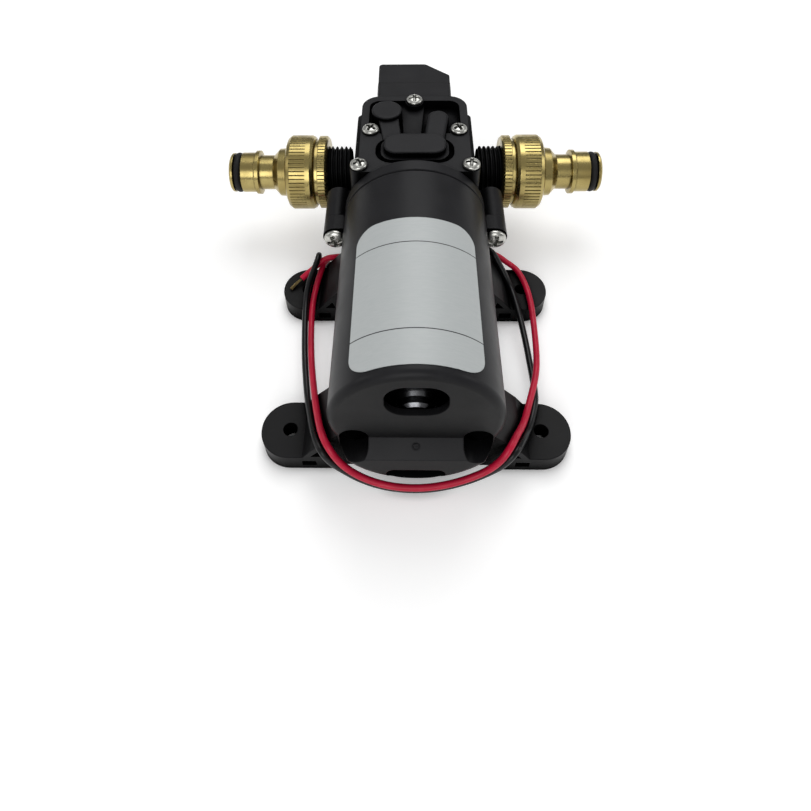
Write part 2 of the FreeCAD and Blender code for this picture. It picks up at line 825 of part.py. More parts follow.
def make_can():
    """A drawn steel cup with its closed front end and bearing boss towards the head."""
    body = pump_body("motor_can")
    front = 0 - d.can_setback
    outer = can_radius()
    inner = outer - d.can_wall
    turn(body, "y", [
        (can_rear(), inner),
        (can_rear(), outer),
        (front, outer),
        (front, d.boss_radius),
        (front + d.front_boss_length, d.boss_radius),
        (front + d.front_boss_length, d.shaft_radius + 1.0),
        (front + d.front_boss_length - 1.0, d.shaft_radius + 1.0),
        (front + d.front_boss_length - 1.0, d.bush_radius),
        (front - d.can_wall, d.bush_radius),
        (front - d.can_wall, inner),
    ])
    return body


def make_end_cap():
    """The plate that closes the can, with the stepped boss that the vent shows."""
    body = pump_body("motor_end_cap")
    rear = can_rear()
    tip = rear - d.boss_length
    turn(body, "y", [
        (rear - 1.2, d.boss_radius + 0.8),
        (rear - 1.2, can_radius() - 1.0),
        (rear, can_radius()),
        (rear, d.bush_radius),
        (tip + 1.5, d.bush_radius),
        (tip + 1.5, d.boss_recess_radius),
        (tip, d.boss_recess_radius),
        (tip, d.boss_radius - 0.9),
        (tip + 0.9, d.boss_radius),
        (rear - 2.4, d.boss_radius),
    ])
    return body


def make_bush(label, low, high):
    body = pump_body(label)
    bore = d.shaft_radius + d.running_gap
    turn(body, "y", [(low, bore), (high, bore), (high, d.bush_radius), (low, d.bush_radius)])
    return body


def rear_bush_low():
    return can_rear() - d.boss_length + 1.5


def front_bush_high():
    return d.front_boss_length - d.can_setback - 1.0


def make_magnets():
    """Two arc magnets that line the can at the sides."""
    outer = can_radius() - d.can_wall
    inner = outer - d.magnet_thickness
    start = d.core_setback + d.core_length / 2 + d.magnet_length / 2
    pieces = []
    for i, turn_angle in enumerate((0, 180), start=1):
        whole = doc.addObject("Part::Cylinder", f"magnet_blank_{i}")
        bore = doc.addObject("Part::Cylinder", f"magnet_bore_{i}")
        for cylinder, radius in ((whole, outer), (bore, inner)):
            bind(cylinder, "Radius", radius)
            bind(cylinder, "Height", d.magnet_length)
        bind(whole, "Angle", d.magnet_angle)
        arc = doc.addObject("Part::Cut", f"magnet_{i}")
        arc.Base = whole
        arc.Tool = bore
        spin = turn_angle - DIMENSIONS["magnet_angle"] / 2
        lay = FreeCAD.Rotation(Vector(1, 0, 0), -90)
        arc.Placement.Rotation = lay.multiply(FreeCAD.Rotation(Vector(0, 0, 1), spin))
        bind(arc, "Placement.Base.y", joint_y - start)
        bind(arc, "Placement.Base.z", d.axis_height)
        pieces.append(arc)
    return gather("field_magnets", pieces)


def make_brush_holder():
    """A ring-shaped plate just inside the end cap."""
    body = pump_body("brush_holder")
    rear = can_rear()
    outer = can_radius() - d.can_wall
    front = rear + d.holder_plate
    turn(body, "y", [(rear, d.holder_bore), (front, d.holder_bore), (front, outer), (rear, outer)])
    return body


def make_blocks(label, spots, half_x, length, half_z):
    """Identical rectangular blocks, as one node."""
    pieces = []
    for i, (x, y, z) in enumerate(spots, start=1):
        block = doc.addObject("Part::Box", f"{label}_{i}")
        bind(block, "Length", half_x * 2)
        bind(block, "Width", length)
        bind(block, "Height", half_z * 2)
        bind(block, "Placement.Base.x", x - half_x)
        bind(block, "Placement.Base.y", y)
        bind(block, "Placement.Base.z", z - half_z)
        pieces.append(block)
    return gather(label, pieces)


def make_brushes():
    """Two carbon brushes that stand on the holder plate and face the commutator."""
    inner = d.commutator_radius + d.brush_gap
    y = joint_y + can_rear() + d.holder_plate
    spots = [(side * (inner + d.brush_length / 2), y, d.axis_height) for side in (-1, 1)]
    return make_blocks("brushes", spots, d.brush_length / 2, d.brush_half * 2, d.brush_half)


def make_terminals():
    """Two flat blades that stand out of the end cap, behind the slanted panel."""
    y = joint_y + can_rear() - 1.2 - d.terminal_length
    z = d.axis_height - d.window_drop
    spots = [(side * d.terminal_offset, y, z) for side in (-1, 1)]
    return make_blocks("motor_terminals", spots, d.terminal_thickness / 2, d.terminal_length,
                       d.terminal_half)


def core_radius():
    return can_radius() - d.can_wall - d.magnet_thickness - d.air_gap


def core_rear():
    return 0 - d.core_setback - d.core_length


def make_shaft():
    body = pump_body("motor_shaft")
    low = rear_bush_low() + 0.2
    turn(body, "y", [(low, 0), (d.shaft_nose, 0), (d.shaft_nose, d.shaft_radius), (low, d.shaft_radius)])
    return body


def make_core():
    """The slotted iron core, pressed on the shaft."""
    body = pump_body("armature_core")
    low = core_rear()
    high = low + d.core_length
    pad(body, "XZ_Plane", low, high, circle(0, 0, core_radius()), circle(0, 0, d.shaft_radius))
    half = d.core_slot_width / 2
    bottom = core_radius() - d.core_slot_depth
    top = core_radius() + 1
    slot = pocket(body, "XZ_Plane", low, high,
                  polygon([(0 - half, bottom), (half, bottom), (half, top), (0 - half, top)]))
    repeat_round(body, slot, "Y_Axis", d.core_slots)
    return body


def make_windings():
    """The two end turns of the winding, one at each end of the core, as plain rings."""
    low = core_rear()
    high = low + d.core_length
    inner = d.commutator_radius + 1.2
    outer = core_radius() - 1.6
    pieces = []
    starts = (("rear", low - d.winding_gap - d.winding_length), ("front", high + d.winding_gap))
    for name, start in starts:
        ring = doc.addObject("Part::Cylinder", f"winding_{name}_ring")
        hole = doc.addObject("Part::Cylinder", f"winding_{name}_hole")
        for cylinder, radius in ((ring, outer), (hole, inner)):
            bind(cylinder, "Radius", radius)
            bind(cylinder, "Height", d.winding_length)
        cut = doc.addObject("Part::Cut", f"winding_{name}")
        cut.Base = ring
        cut.Tool = hole
        cut.Placement.Rotation = FreeCAD.Rotation(Vector(1, 0, 0), -90)
        bind(cut, "Placement.Base.y", joint_y + start)
        bind(cut, "Placement.Base.z", d.axis_height)
        pieces.append(cut)
    return gather("armature_windings", pieces)


def make_commutator():
    body = pump_body("commutator")
    low = can_rear() + d.holder_plate - 1.0
    high = low + d.commutator_length
    outer = d.commutator_radius
    bore = d.shaft_radius
    turn(body, "y", [(low, bore), (high, bore), (high, outer), (low, outer)])
    return body


# Crank


def crank_body(label, rise=0):
    """A body drawn from the crank's middle, on the motor's axis or above it."""
    return new_body(label, 0, joint_y + d.crank_setback, d.axis_height + rise)


def make_eccentric():
    """A collar on the shaft whose journal is off centre, with the throw upwards."""
    body = crank_body("eccentric")
    half = d.bearing_width / 2
    low = half - d.eccentric_length
    pad(body, "XZ_Plane", low, half, circle(0, d.crank_throw, d.journal_radius))
    pad(body, "XZ_Plane", low, 0 - half - 0.3, circle(0, 0, d.journal_radius + 1.4))
    pocket(body, "XZ_Plane", low, half, circle(0, 0, d.shaft_radius))
    grub = (low - half - 0.3) / 2
    pocket(body, "XY_Plane", 0 - d.journal_radius - 2.0, ZERO, circle(0, grub, d.grub_hole_radius))
    return body


def make_eccentric_screw():
    """The grub screw that holds the eccentric to the shaft."""
    body = crank_body("eccentric_screw")
    half = d.bearing_width / 2
    low = half - d.eccentric_length
    grub = (low - half - 0.3) / 2
    pad(body, "XY_Plane", 0 - d.journal_radius - 1.2, 0 - d.shaft_radius - 0.05,
        circle(0, grub, d.grub_radius))
    return body


def make_ring(label, inner, outer, half):
    body = crank_body(label, d.crank_throw)
    turn(body, "y", [(0 - half, inner), (half, inner), (half, outer), (0 - half, outer)])
    return body


def make_balls():
    """Seven balls between the bearing's rings."""
    middle_radius = (d.inner_ring_radius + d.outer_ring_bore) / 2
    ball = (d.outer_ring_bore - d.inner_ring_radius) / 2 - d.ball_gap
    pieces = []
    for i in range(7):
        angle = 2 * math.pi * i / 7
        sphere = doc.addObject("Part::Sphere", f"ball_{i + 1}")
        bind(sphere, "Radius", ball)
        bind(sphere, "Placement.Base.x", middle_radius * math.sin(angle))
        bind(sphere, "Placement.Base.y", joint_y + d.crank_setback)
        bind(sphere, "Placement.Base.z", d.axis_height + d.crank_throw + middle_radius * math.cos(angle))
        pieces.append(sphere)
    return gather("bearing_balls", pieces)


def rod_top():
    """Height of the rod's flange face above the bearing's middle."""
    return d.seat_rise - d.diaphragm_thickness


def make_rod():
    """Ring round the bearing, a neck and the flange under the diaphragm's middle."""
    body = crank_body("connecting_rod", d.crank_throw)
    half = d.rod_width / 2
    ring = d.bearing_radius + d.rod_ring_wall
    pad(body, "XZ_Plane", 0 - half, half, circle(0, 0, ring))
    top = rod_top()
    under = top - d.rod_flange
    neck = d.rod_neck
    pad(body, "XZ_Plane", 0 - half, half,
        polygon([(0 - neck - 1.2, ring - 1.6), (neck + 1.2, ring - 1.6), (neck, under), (0 - neck, under)]))
    pad(body, "XY_Plane", under, top, circle(0, 0, d.rod_flange_radius))
    pocket(body, "XZ_Plane", 0 - half, half, circle(0, 0, d.bearing_radius))
    pocket(body, "XY_Plane", top - d.stud_length, top, circle(0, 0, d.stud_radius + 0.02))
    return body


def make_insert():
    """Metal disc and stud moulded into the diaphragm's middle and screwed into the rod."""
    body = crank_body("diaphragm_insert", d.crank_throw)
    top = rod_top()
    disc = top + (d.diaphragm_thickness - d.insert_thickness) / 2
    turn(body, "z", [
        (top - d.stud_length + 0.4, 0),
        (top - d.stud_length + 0.4, d.stud_radius),
        (disc, d.stud_radius),
        (disc, d.insert_radius),
        (disc + d.insert_thickness, d.insert_radius),
        (disc + d.insert_thickness, 0),
    ])
    return body


def make_diaphragm():
    """A rubber disc with a thick clamped rim, a thin rolling web and a raised middle."""
    body = crank_body("diaphragm")
    top = d.seat_rise
    low = top - d.diaphragm_thickness
    lift = d.crank_throw
    inner_rim = d.diaphragm_radius - d.clamp_width
    disc = low + lift + (d.diaphragm_thickness - d.insert_thickness) / 2
    turn(body, "z", [
        (low + lift, d.stud_radius + 0.02),
        (low + lift, d.diaphragm_middle),
        (low + 0.35, d.throat_radius),
        (low + 0.35, inner_rim - 0.4),
        (low, inner_rim),
        (low, d.diaphragm_radius),
        (top, d.diaphragm_radius),
        (top, inner_rim - 0.3),
        (top + 0.15, d.throat_radius),
        (top + lift, d.diaphragm_middle),
        (top + lift, 0),
        (disc + d.insert_thickness, 0),
        (disc + d.insert_thickness, d.insert_radius + 0.02),
        (disc, d.insert_radius + 0.02),
        (disc, d.stud_radius + 0.02),
    ])
    return body


# Head


def screw_spots():
    """Places of the five cover screws, from the joint plane."""
    lower = d.crank_setback - d.lower_screw_back
    mid = d.crank_setback + d.middle_screw_forward
    top = d.head_length - d.top_screw_inset
    return [
        (0 - d.lower_screw_x, lower),
        (d.lower_screw_x, lower),
        (0 - d.middle_screw_x, mid),
        (d.middle_screw_x, mid),
        (ZERO, top),
    ]


def make_housing():
    """Head housing: round flange, block, screw bosses, ports on necks, crank chamber and seats."""
    body = pump_body("head_housing")
    far = d.head_length
    low = 0 - d.sleeve_radius
    width = d.head_half_width
    start = ZERO
    pad(body, "XY_Plane", low, d.seat_rise,
        rounded(start, (far + d.flange_length - d.head_corner) / 2, width,
                (far - d.flange_length + d.head_corner) / 2, d.head_corner))
    pad(body, "XZ_Plane", start, d.flange_length, circle(0, 0, d.sleeve_radius))
    register = can_radius()
    pad(body, "XZ_Plane", 0 - d.register_length, start, circle(0, 0, register),
        circle(0, 0, register - d.register_wall))
    past_edge = d.sleeve_radius + 0.3
    slope = d.edge_break + 0.3
    groove(body, "y", [(0, d.sleeve_radius - d.edge_break), (slope, past_edge), (0, past_edge)])
    bosses = [circle(side * d.ear_offset, 0, d.ear_radius) for side in (-1, 1)]
    pad(body, "XZ_Plane", start, d.boss_reach, *bosses)
    web = d.boss_web
    pad(body, "XZ_Plane", start, d.boss_reach,
        polygon([(0 - d.ear_offset, 0 - web), (d.ear_offset, 0 - web), (d.ear_offset, web),
                 (0 - d.ear_offset, web)]))
    tops = [circle(x, y, d.screw_tower - 0.2) for x, y in screw_spots()[:2]]
    pad(body, "XY_Plane", d.seat_rise - d.top_boss_depth, d.seat_rise, *tops)
    port = (d.port_setback, 0 - d.port_drop)
    pad(body, "YZ_Plane", 0 - d.thread_end, d.thread_end, circle(*port, d.neck_radius))
    for side in (-1, 1):
        for near, past, radius in ((d.thread_start, d.thread_end, d.thread_root),
                                   (d.reducer_start, d.thread_end, d.thread_radius)):
            inner, outer = side * near, side * past
            ends = (inner, outer) if side > 0 else (outer, inner)
            pad(body, "YZ_Plane", *ends, circle(*port, radius))
    soften(body, d.mouth_round, lambda edge: abs(abs(middle(edge).x) - d.thread_end.value) < 0.01
           and edge.Curve.TypeId == "Part::GeomCircle", "Chamfer")
    for side in (-1, 1):
        deep = side * (d.thread_end - d.port_bore_depth)
        mouth = side * d.thread_end
        ends = (deep, mouth) if side > 0 else (mouth, deep)
        pocket(body, "YZ_Plane", *ends, circle(*port, d.port_bore))
    risers = [circle(side * d.riser_offset, d.riser_setback, d.riser_radius) for side in (-1, 1)]
    pocket(body, "XY_Plane", 0 - d.port_drop, d.seat_rise, *risers)
    pocket(body, "XZ_Plane", start, d.crank_depth, circle(0, 0, d.crank_radius))
    pocket(body, "XY_Plane", start, d.seat_rise, circle(0, d.crank_setback, d.throat_radius))
    pocket(body, "XY_Plane", d.seat_rise - d.diaphragm_thickness, d.seat_rise,
           circle(0, d.crank_setback, d.diaphragm_radius + 0.1))
    pilots = [circle(x, y, d.cover_screw_radius) for x, y in screw_spots()]
    pilot_depth = d.cover_screw_length - d.plate_thickness - d.cover_thickness + 1
    pocket(body, "XY_Plane", d.seat_rise - pilot_depth, d.seat_rise, *pilots)
    deep_holes = [circle(side * d.ear_offset, 0, d.sleeve_screw_radius) for side in (-1, 1)]
    pocket(body, "XZ_Plane", start, d.sleeve_screw_grip + 1, *deep_holes)
    pocket(body, "XZ_Plane", far - d.sensing_thickness, far,
           circle(0, 0 - d.port_drop, d.switch_seat_radius))
    pocket(body, "XZ_Plane", d.riser_setback, far,
           circle(d.riser_offset - 2.0, 0 - d.port_drop, d.sensing_hole))
    switch_holes = [circle(side * tower_middle(), 0 - d.port_drop, d.switch_screw_radius) for side in (-1, 1)]
    pocket(body, "XZ_Plane", far - d.switch_screw_grip - 1, far, *switch_holes)
    return body


def cover_outline(body, low, high):
    """The plate and cover share one outline: a block with two round ears and two round corners."""
    near = d.flange_length + d.cover_gap
    far = d.head_length - d.cover_end_gap
    wide = d.cover_half_width
    pad(body, "XY_Plane", low, high, polygon([(0 - wide, near), (wide, near), (wide, far), (0 - wide, far)]))
    soften(body, d.cover_corner, lambda edge: runs_along(edge, UP) and middle(edge).y > far.value - 0.1)
    for x, y in screw_spots()[:2]:
        pad(body, "XY_Plane", low, high, circle(x, y, d.screw_tower - 0.2))


def make_valve_plate():
    """Plate with the pumping pocket below and the two valves' holes."""
    body = pump_body("valve_plate")
    low = d.seat_rise
    high = low + d.plate_thickness
    cover_outline(body, low, high)
    pocket(body, "XY_Plane", low, low + d.pocket_depth, circle(0, d.crank_setback, d.pocket_radius))
    holes = [circle(x, y, d.cover_screw_radius) for x, y in screw_spots()]
    for side in (-1, 1):
        holes.append(circle(side * d.valve_offset, d.crank_setback, d.stem_radius))
        for i in range(4):
            angle = math.pi / 4 + i * math.pi / 2
            holes.append(circle(side * d.valve_offset + d.valve_hole_ring * math.cos(angle),
                                d.crank_setback + d.valve_hole_ring * math.sin(angle),
                                d.valve_hole_radius))
        holes.append(circle(side * d.riser_offset, d.riser_setback, d.riser_radius))
    pocket(body, "XY_Plane", low, high, *holes)
    return body


def make_valve(label, side, way):
    """An umbrella valve: a thin disc on the side that it opens to, and a stem with a bulb."""
    body = crank_body(label)
    ceiling = d.seat_rise + d.pocket_depth
    top = d.seat_rise + d.plate_thickness
    seat = top if way > 0 else ceiling
    back = ceiling if way > 0 else top
    disc = way * d.valve_thickness
    bulb = way * 0.7
    profile = [
        (seat, d.stem_radius - 0.02),
        (seat, d.valve_radius),
        (seat + disc * 0.6, d.valve_radius),
        (seat + disc, d.stem_radius + 0.5),
        (seat + disc, 0),
        (back - bulb, 0),
        (back - bulb, d.stem_radius),
        (back, d.stem_radius + 0.25),
        (back, d.stem_radius - 0.02),
    ]
    turn(body, "z", profile)
    bind(body, "Placement.Base.x", side * d.valve_offset)
    return body


def chamber_outline():
    """The cavity under the plateau, from the joint plane."""
    return (ZERO, d.crank_setback, d.plateau_half_width - 1.2, d.plateau_half_length - 0.8)


def make_seal():
    """The cord seal that runs round the cavity between the plate and the cover."""
    body = pump_body("cover_seal")
    x, y, half_x, half_y = chamber_outline()
    base = d.seat_rise + d.plate_thickness
    wire = d.seal_radius
    outer = rounded(x, y, half_x + 2.6 * wire, half_y + 2.6 * wire, d.plateau_round)
    inner = rounded(x, y, half_x + wire, half_y + wire, d.plateau_round - 1.6 * wire)
    pad(body, "XY_Plane", base, base + wire, outer, inner)
    return body


def make_cover():
    """Head cover: rim, recess, screw towers, disc, channel, tube, web, plateau, ledge and moats."""
    body = pump_body("head_cover")
    low = d.seat_rise + d.plate_thickness
    rim = low + d.cover_thickness
    far = d.head_length - d.cover_end_gap
    cover_outline(body, low, rim)
    floor = rim - d.recess_depth
    recess_far = far - d.rim_width
    recess_half = (recess_far - d.recess_start) / 2
    pocket(body, "XY_Plane", floor, rim,
           rounded(ZERO, d.recess_start + recess_half, d.cover_half_width - d.rim_width, recess_half,
                   d.cover_corner - d.rim_width))
    moat = rim - d.moat_depth
    moat_centre = d.crank_setback - 1.4
    pocket(body, "XY_Plane", moat, rim,
           rounded(ZERO, moat_centre, d.moat_half_width, d.moat_half_length, d.moat_round))
    pad(body, "XY_Plane", moat, rim,
        rounded(ZERO, d.crank_setback - 0.6, d.ledge_half_width, d.ledge_half_length, d.ledge_round))
    web = [
        (0 - d.web_left_far, far - d.rim_width),
        (0 - d.web_left_near, d.recess_start - 2),
        (d.web_right_near, d.recess_start - 2),
        (d.web_right_far, far - d.rim_width),
    ]
    pad(body, "XY_Plane", floor, floor + d.web_floor_rise, polygon(web))
    towers = [circle(x, y, d.screw_tower) for x, y in screw_spots()[2:]]
    pad(body, "XY_Plane", floor, rim, *towers)
    near = d.crank_setback + 4
    channel = [
        (0 - d.disc_offset - d.channel_left_far, d.disc_setback),
        (0 - d.disc_offset - d.channel_left_near, near),
        (0 - d.disc_offset + d.channel_right_near, near),
        (0 - d.disc_offset + d.channel_right_far, d.disc_setback),
    ]
    pad(body, "XY_Plane", floor, rim + d.channel_rise, polygon(channel))
    tube_top = rim + d.tube_rise
    soften(body, d.channel_round, lambda edge: flat_at(edge, (rim + d.channel_rise).value)
           and edge.Length > 10 and middle(edge).x < 0)
    pad(body, "XY_Plane", floor, tube_top, circle(d.tube_offset, d.tube_setback, d.tube_radius))
    strip = [
        (d.tube_offset - d.tube_radius, d.tube_setback),
        (d.tube_offset - d.tube_radius - 1.5, near),
        (d.tube_offset + d.tube_radius - 1.9, near),
        (d.tube_offset + d.tube_radius, d.tube_setback),
    ]
    pad(body, "XY_Plane", floor, tube_top, polygon(strip))
    soften(body, d.tube_round, lambda edge: flat_at(edge, tube_top.value) and middle(edge).x > 0
           and middle(edge).y > near.value + 0.1)
    pad(body, "XY_Plane", floor, rim + d.disc_rise,
        circle(0 - d.disc_offset, d.disc_setback, d.disc_radius))
    pad(body, "XY_Plane", moat, rim + d.plateau_rise,
        rounded(ZERO, d.crank_setback, d.plateau_half_width, d.plateau_half_length, d.plateau_corner))
    soften(body, d.disc_round, lambda edge: flat_at(edge, (rim + d.plateau_rise).value)
           or flat_at(edge, (rim + d.disc_rise).value))
    x, y, half_x, half_y = chamber_outline()
    pocket(body, "XY_Plane", low, low + d.chamber_depth,
           rounded(x - half_x / 2 - 0.5, y, half_x / 2 - 0.5, half_y, d.chamber_round),
           rounded(x + half_x / 2 + 0.5, y, half_x / 2 - 0.5, half_y, d.chamber_round))
    wire = d.seal_radius
    pocket(body, "XY_Plane", low, low + wire,
           rounded(x, y, half_x + 2.6 * wire, half_y + 2.6 * wire, d.plateau_round),
           rounded(x, y, half_x + wire, half_y + wire, d.plateau_round - 1.6 * wire))
    risers = [circle(side * d.riser_offset, d.riser_setback, d.riser_radius) for side in (-1, 1)]
    pocket(body, "XY_Plane", low, floor - d.riser_roof, *risers)
    holes = [circle(x, y, d.cover_screw_radius) for x, y in screw_spots()]
    pocket(body, "XY_Plane", low, rim + 0.01, *holes)
    return body


def make_cover_screws():
    rim = d.axis_height + d.seat_rise + d.plate_thickness + d.cover_thickness
    base = rim - d.cover_screw_length
    spots = [(x, joint_y + y, base) for x, y in screw_spots()]
    return screw_group("cover_screws", "z", spots, d.cover_screw_head_radius, d.cover_screw_head,
                       d.cover_screw_radius, d.cover_screw_length)


# Pressure switch


def tower_middle():
    return d.switch_half_width + d.tower_reach / 2


def switch_body(label):
    """A body drawn from the middle of the switch's seat on the head's end face."""
    return new_body(label, 0, joint_y + d.head_length, d.axis_height - d.port_drop)


def make_sensing_disc():
    body = switch_body("switch_diaphragm")
    pad(body, "XZ_Plane", 0 - d.sensing_thickness, ZERO, circle(0, 0, d.switch_seat_radius))
    return body


def make_switch_housing():
    """Block with two screw towers, a spring chamber and a guide hole for the plunger."""
    body = switch_body("switch_housing")
    length = d.switch_length
    pad(body, "XZ_Plane", ZERO, length,
        rounded(ZERO, ZERO, d.switch_half_width, d.switch_half_height, d.switch_corner))
    outer = d.switch_half_width + d.tower_reach
    pad(body, "XZ_Plane", ZERO, d.tower_length,
        rounded(ZERO, ZERO, outer, d.tower_half_height, d.tower_round))
    pocket(body, "XZ_Plane", ZERO, d.spring_chamber_depth, circle(0, 0, d.spring_chamber_radius))
    pocket(body, "XZ_Plane", ZERO, length, circle(0, 0, d.plunger_bore))
    holes = [circle(side * tower_middle(), 0, d.switch_screw_radius) for side in (-1, 1)]
    pocket(body, "XZ_Plane", ZERO, d.tower_length, *holes)
    return body


def make_switch_screws():
    end = joint_y + d.head_length
    spots = [
        (side * tower_middle(), end - d.switch_screw_grip, d.axis_height - d.port_drop)
        for side in (-1, 1)
    ]
    return screw_group("switch_screws", "y", spots, d.switch_screw_head_radius, d.switch_screw_head,
                       d.switch_screw_radius, d.switch_screw_grip + d.tower_length, flip=-1)


def make_plunger():
    """Head that rests on the sensing disc, and a stem through the spring."""
    body = switch_body("switch_plunger")
    head = d.plunger_head
    length = d.plunger_length + d.switch_length - d.plunger_inset
    turn(body, "y", [
        (0.05, 0),
        (0.05, d.plunger_head_radius),
        (head, d.plunger_head_radius),
        (head, d.plunger_stem_radius),
        (length, d.plunger_stem_radius),
        (length, 0),
    ])
    return body


def make_spring():
    """The plunger's return spring, a coil between the plunger's head and the chamber's end."""
    room = d.spring_chamber_depth - d.plunger_head - d.spring_wire * 2 - 0.1
    coil = doc.addObject("Part::Helix", "spring_coil")
    bind(coil, "Pitch", room / d.spring_turns)
    bind(coil, "Height", room)
    bind(coil, "Radius", d.spring_radius)
    wire = doc.addObject("Part::Circle", "spring_wire_section")
    bind(wire, "Radius", d.spring_wire)
    wire.Placement.Rotation = FreeCAD.Rotation(Vector(1, 0, 0), 90)
    bind(wire, "Placement.Base.x", d.spring_radius)
    spring = doc.addObject("Part::Sweep", "switch_spring")
    spring.Sections = [wire]
    spring.Spine = (coil, ["Edge1"])
    spring.Solid = True
    spring.Frenet = True
    spring.Label = "switch_spring"
    spring.Placement.Rotation = FreeCAD.Rotation(Vector(1, 0, 0), -90)
    bind(spring, "Placement.Base.y", joint_y + d.head_length + d.plunger_head + d.spring_wire + 0.05)
    bind(spring, "Placement.Base.z", d.axis_height - d.port_drop)
    SUBPARTS.append(spring)
    return spring


def make_switch_cap():
    """Cap with one cut corner, hollow behind the switch housing."""
    body = switch_body("switch_cap")
    start = d.switch_length
    end = start + d.cap_length
    half = d.switch_half_width - d.cap_inset
    tall = d.switch_half_height - d.cap_inset
    cut_x = half - d.cut_corner_x
    cut_y = end - d.cut_corner_y
    outline = [(0 - half, start), (half, start), (half, cut_y), (cut_x, end), (0 - half, end)]
    pad(body, "XY_Plane", 0 - tall, tall, polygon(outline))
    soften(body, d.cap_round, lambda edge: runs_along(edge, UP) and middle(edge).y > start.value + 0.1)
    wall = d.cap_wall
    inner = [
        (wall - half, start),
        (half - wall, start),
        (half - wall, cut_y - wall * 0.4),
        (cut_x - wall * 0.4, end - wall),
        (wall - half, end - wall),
    ]
    pocket(body, "XY_Plane", wall - tall, tall - wall, polygon(inner))
    pocket(body, "XY_Plane", 0 - tall - 1, 1 - tall + wall,
           circle(d.grommet_offset, grommet_along(), d.grommet_radius - d.grommet_lip))
    pad(body, "XZ_Plane", microswitch_back(), end - wall * 0.9,
        rounded(0 - d.microswitch_shift, ZERO, d.switch_rest_half_width, d.microswitch_half_height,
                d.microswitch_round))
    return body


def grommet_along():
    """The grommet's place along Y, from the switch's seat."""
    return d.switch_length + d.cap_length / 2 - 1


def microswitch_back():
    length = d.plunger_length + d.switch_length - d.plunger_inset
    return length + d.plunger_travel + 0.3 + d.microswitch_depth


def make_microswitch():
    """The snap switch inside the cap, one running gap of travel from the plunger's tip."""
    body = switch_body("microswitch")
    near = microswitch_back() - d.microswitch_depth
    pad(body, "XZ_Plane", near, near + d.microswitch_depth,
        rounded(0 - d.microswitch_shift, ZERO, d.microswitch_half_width, d.microswitch_half_height,
                d.microswitch_round))
    return body


def make_grommet():
    """Rubber grommet in the cap's underside, with one hole for each lead."""
    body = switch_body("lead_grommet")
    tall = d.switch_half_height - d.cap_inset
    along = grommet_along()
    low = 0 - tall - d.grommet_lip
    pad(body, "XY_Plane", low, 0 - tall, circle(d.grommet_offset, along, d.grommet_radius))
    pad(body, "XY_Plane", low, d.cap_wall - tall,
        circle(d.grommet_offset, along, d.grommet_radius - d.grommet_lip))
    return body


# Hose connectors, drawn outwards from the pump's middle plane


def side_body(label, side):
    yaw = 0 if side > 0 else 180
    return new_body(label, 0, joint_y + d.port_setback, d.axis_height - d.port_drop, yaw)


def reducer_marks():
    rim_end = d.reducer_start + d.reducer_rim
    return d.reducer_start, rim_end, rim_end + d.reducer_male_length


def knurl(body, low, high, radius):
    """Straight grooves round the body's x axis."""
    half = 3.1416 * radius / d.knurl_count * 0.42
    deep = radius - d.knurl_depth
    past = radius + 0.6
    cut = pocket(body, "YZ_Plane", low, high,
                 polygon([(0 - half, past), (0 - half * 0.3, deep), (half * 0.3, deep), (half, past)]))
    repeat_round(body, cut, "X_Axis", d.knurl_count)


def make_reducer(label, side):
    """Reducing ring: knurled rim, male thread outwards and a bore that fits the port's thread."""
    body = side_body(label, side)
    start, rim_end, end = reducer_marks()
    bore = d.thread_radius + d.thread_gap
    stop = d.thread_end + 0.3
    turn(body, "x", [
        (start, bore),
        (start, d.reducer_rim_radius - 0.8),
        (start + 0.8, d.reducer_rim_radius),
        (rim_end, d.reducer_rim_radius),
        (rim_end, d.reducer_male_radius),
        (end - 0.6, d.reducer_male_radius),
        (end, d.reducer_male_radius - 0.6),
        (end, d.reducer_bore),
        (stop, d.reducer_bore),
        (stop, bore),
    ])
    knurl(body, start, rim_end, d.reducer_rim_radius)
    return body


def nut_marks():
    start = reducer_marks()[1] + d.nut_gap
    return start, start + d.nut_length


def washer_start():
    return reducer_marks()[2] + d.washer_gap


def make_washer(label, side):
    """Flat rubber washer against the nut's inner shoulder."""
    body = side_body(label, side)
    low = washer_start()
    high = low + d.washer_thickness
    inner, outer = d.reducer_bore, d.washer_radius
    turn(body, "x", [(low, inner), (high, inner), (high, outer), (low, outer)])
    return body


def spigot_marks():
    """Ends of the flare, neck, bead, barrel, groove and lip, from the pump's middle plane."""
    flare = nut_marks()[1] + d.flare_length
    neck = flare + d.neck_length
    bead = neck + d.bead_length
    barrel = bead + d.barrel_length
    seat = barrel + d.groove_length
    return flare, neck, bead, barrel, seat, seat + d.lip_length


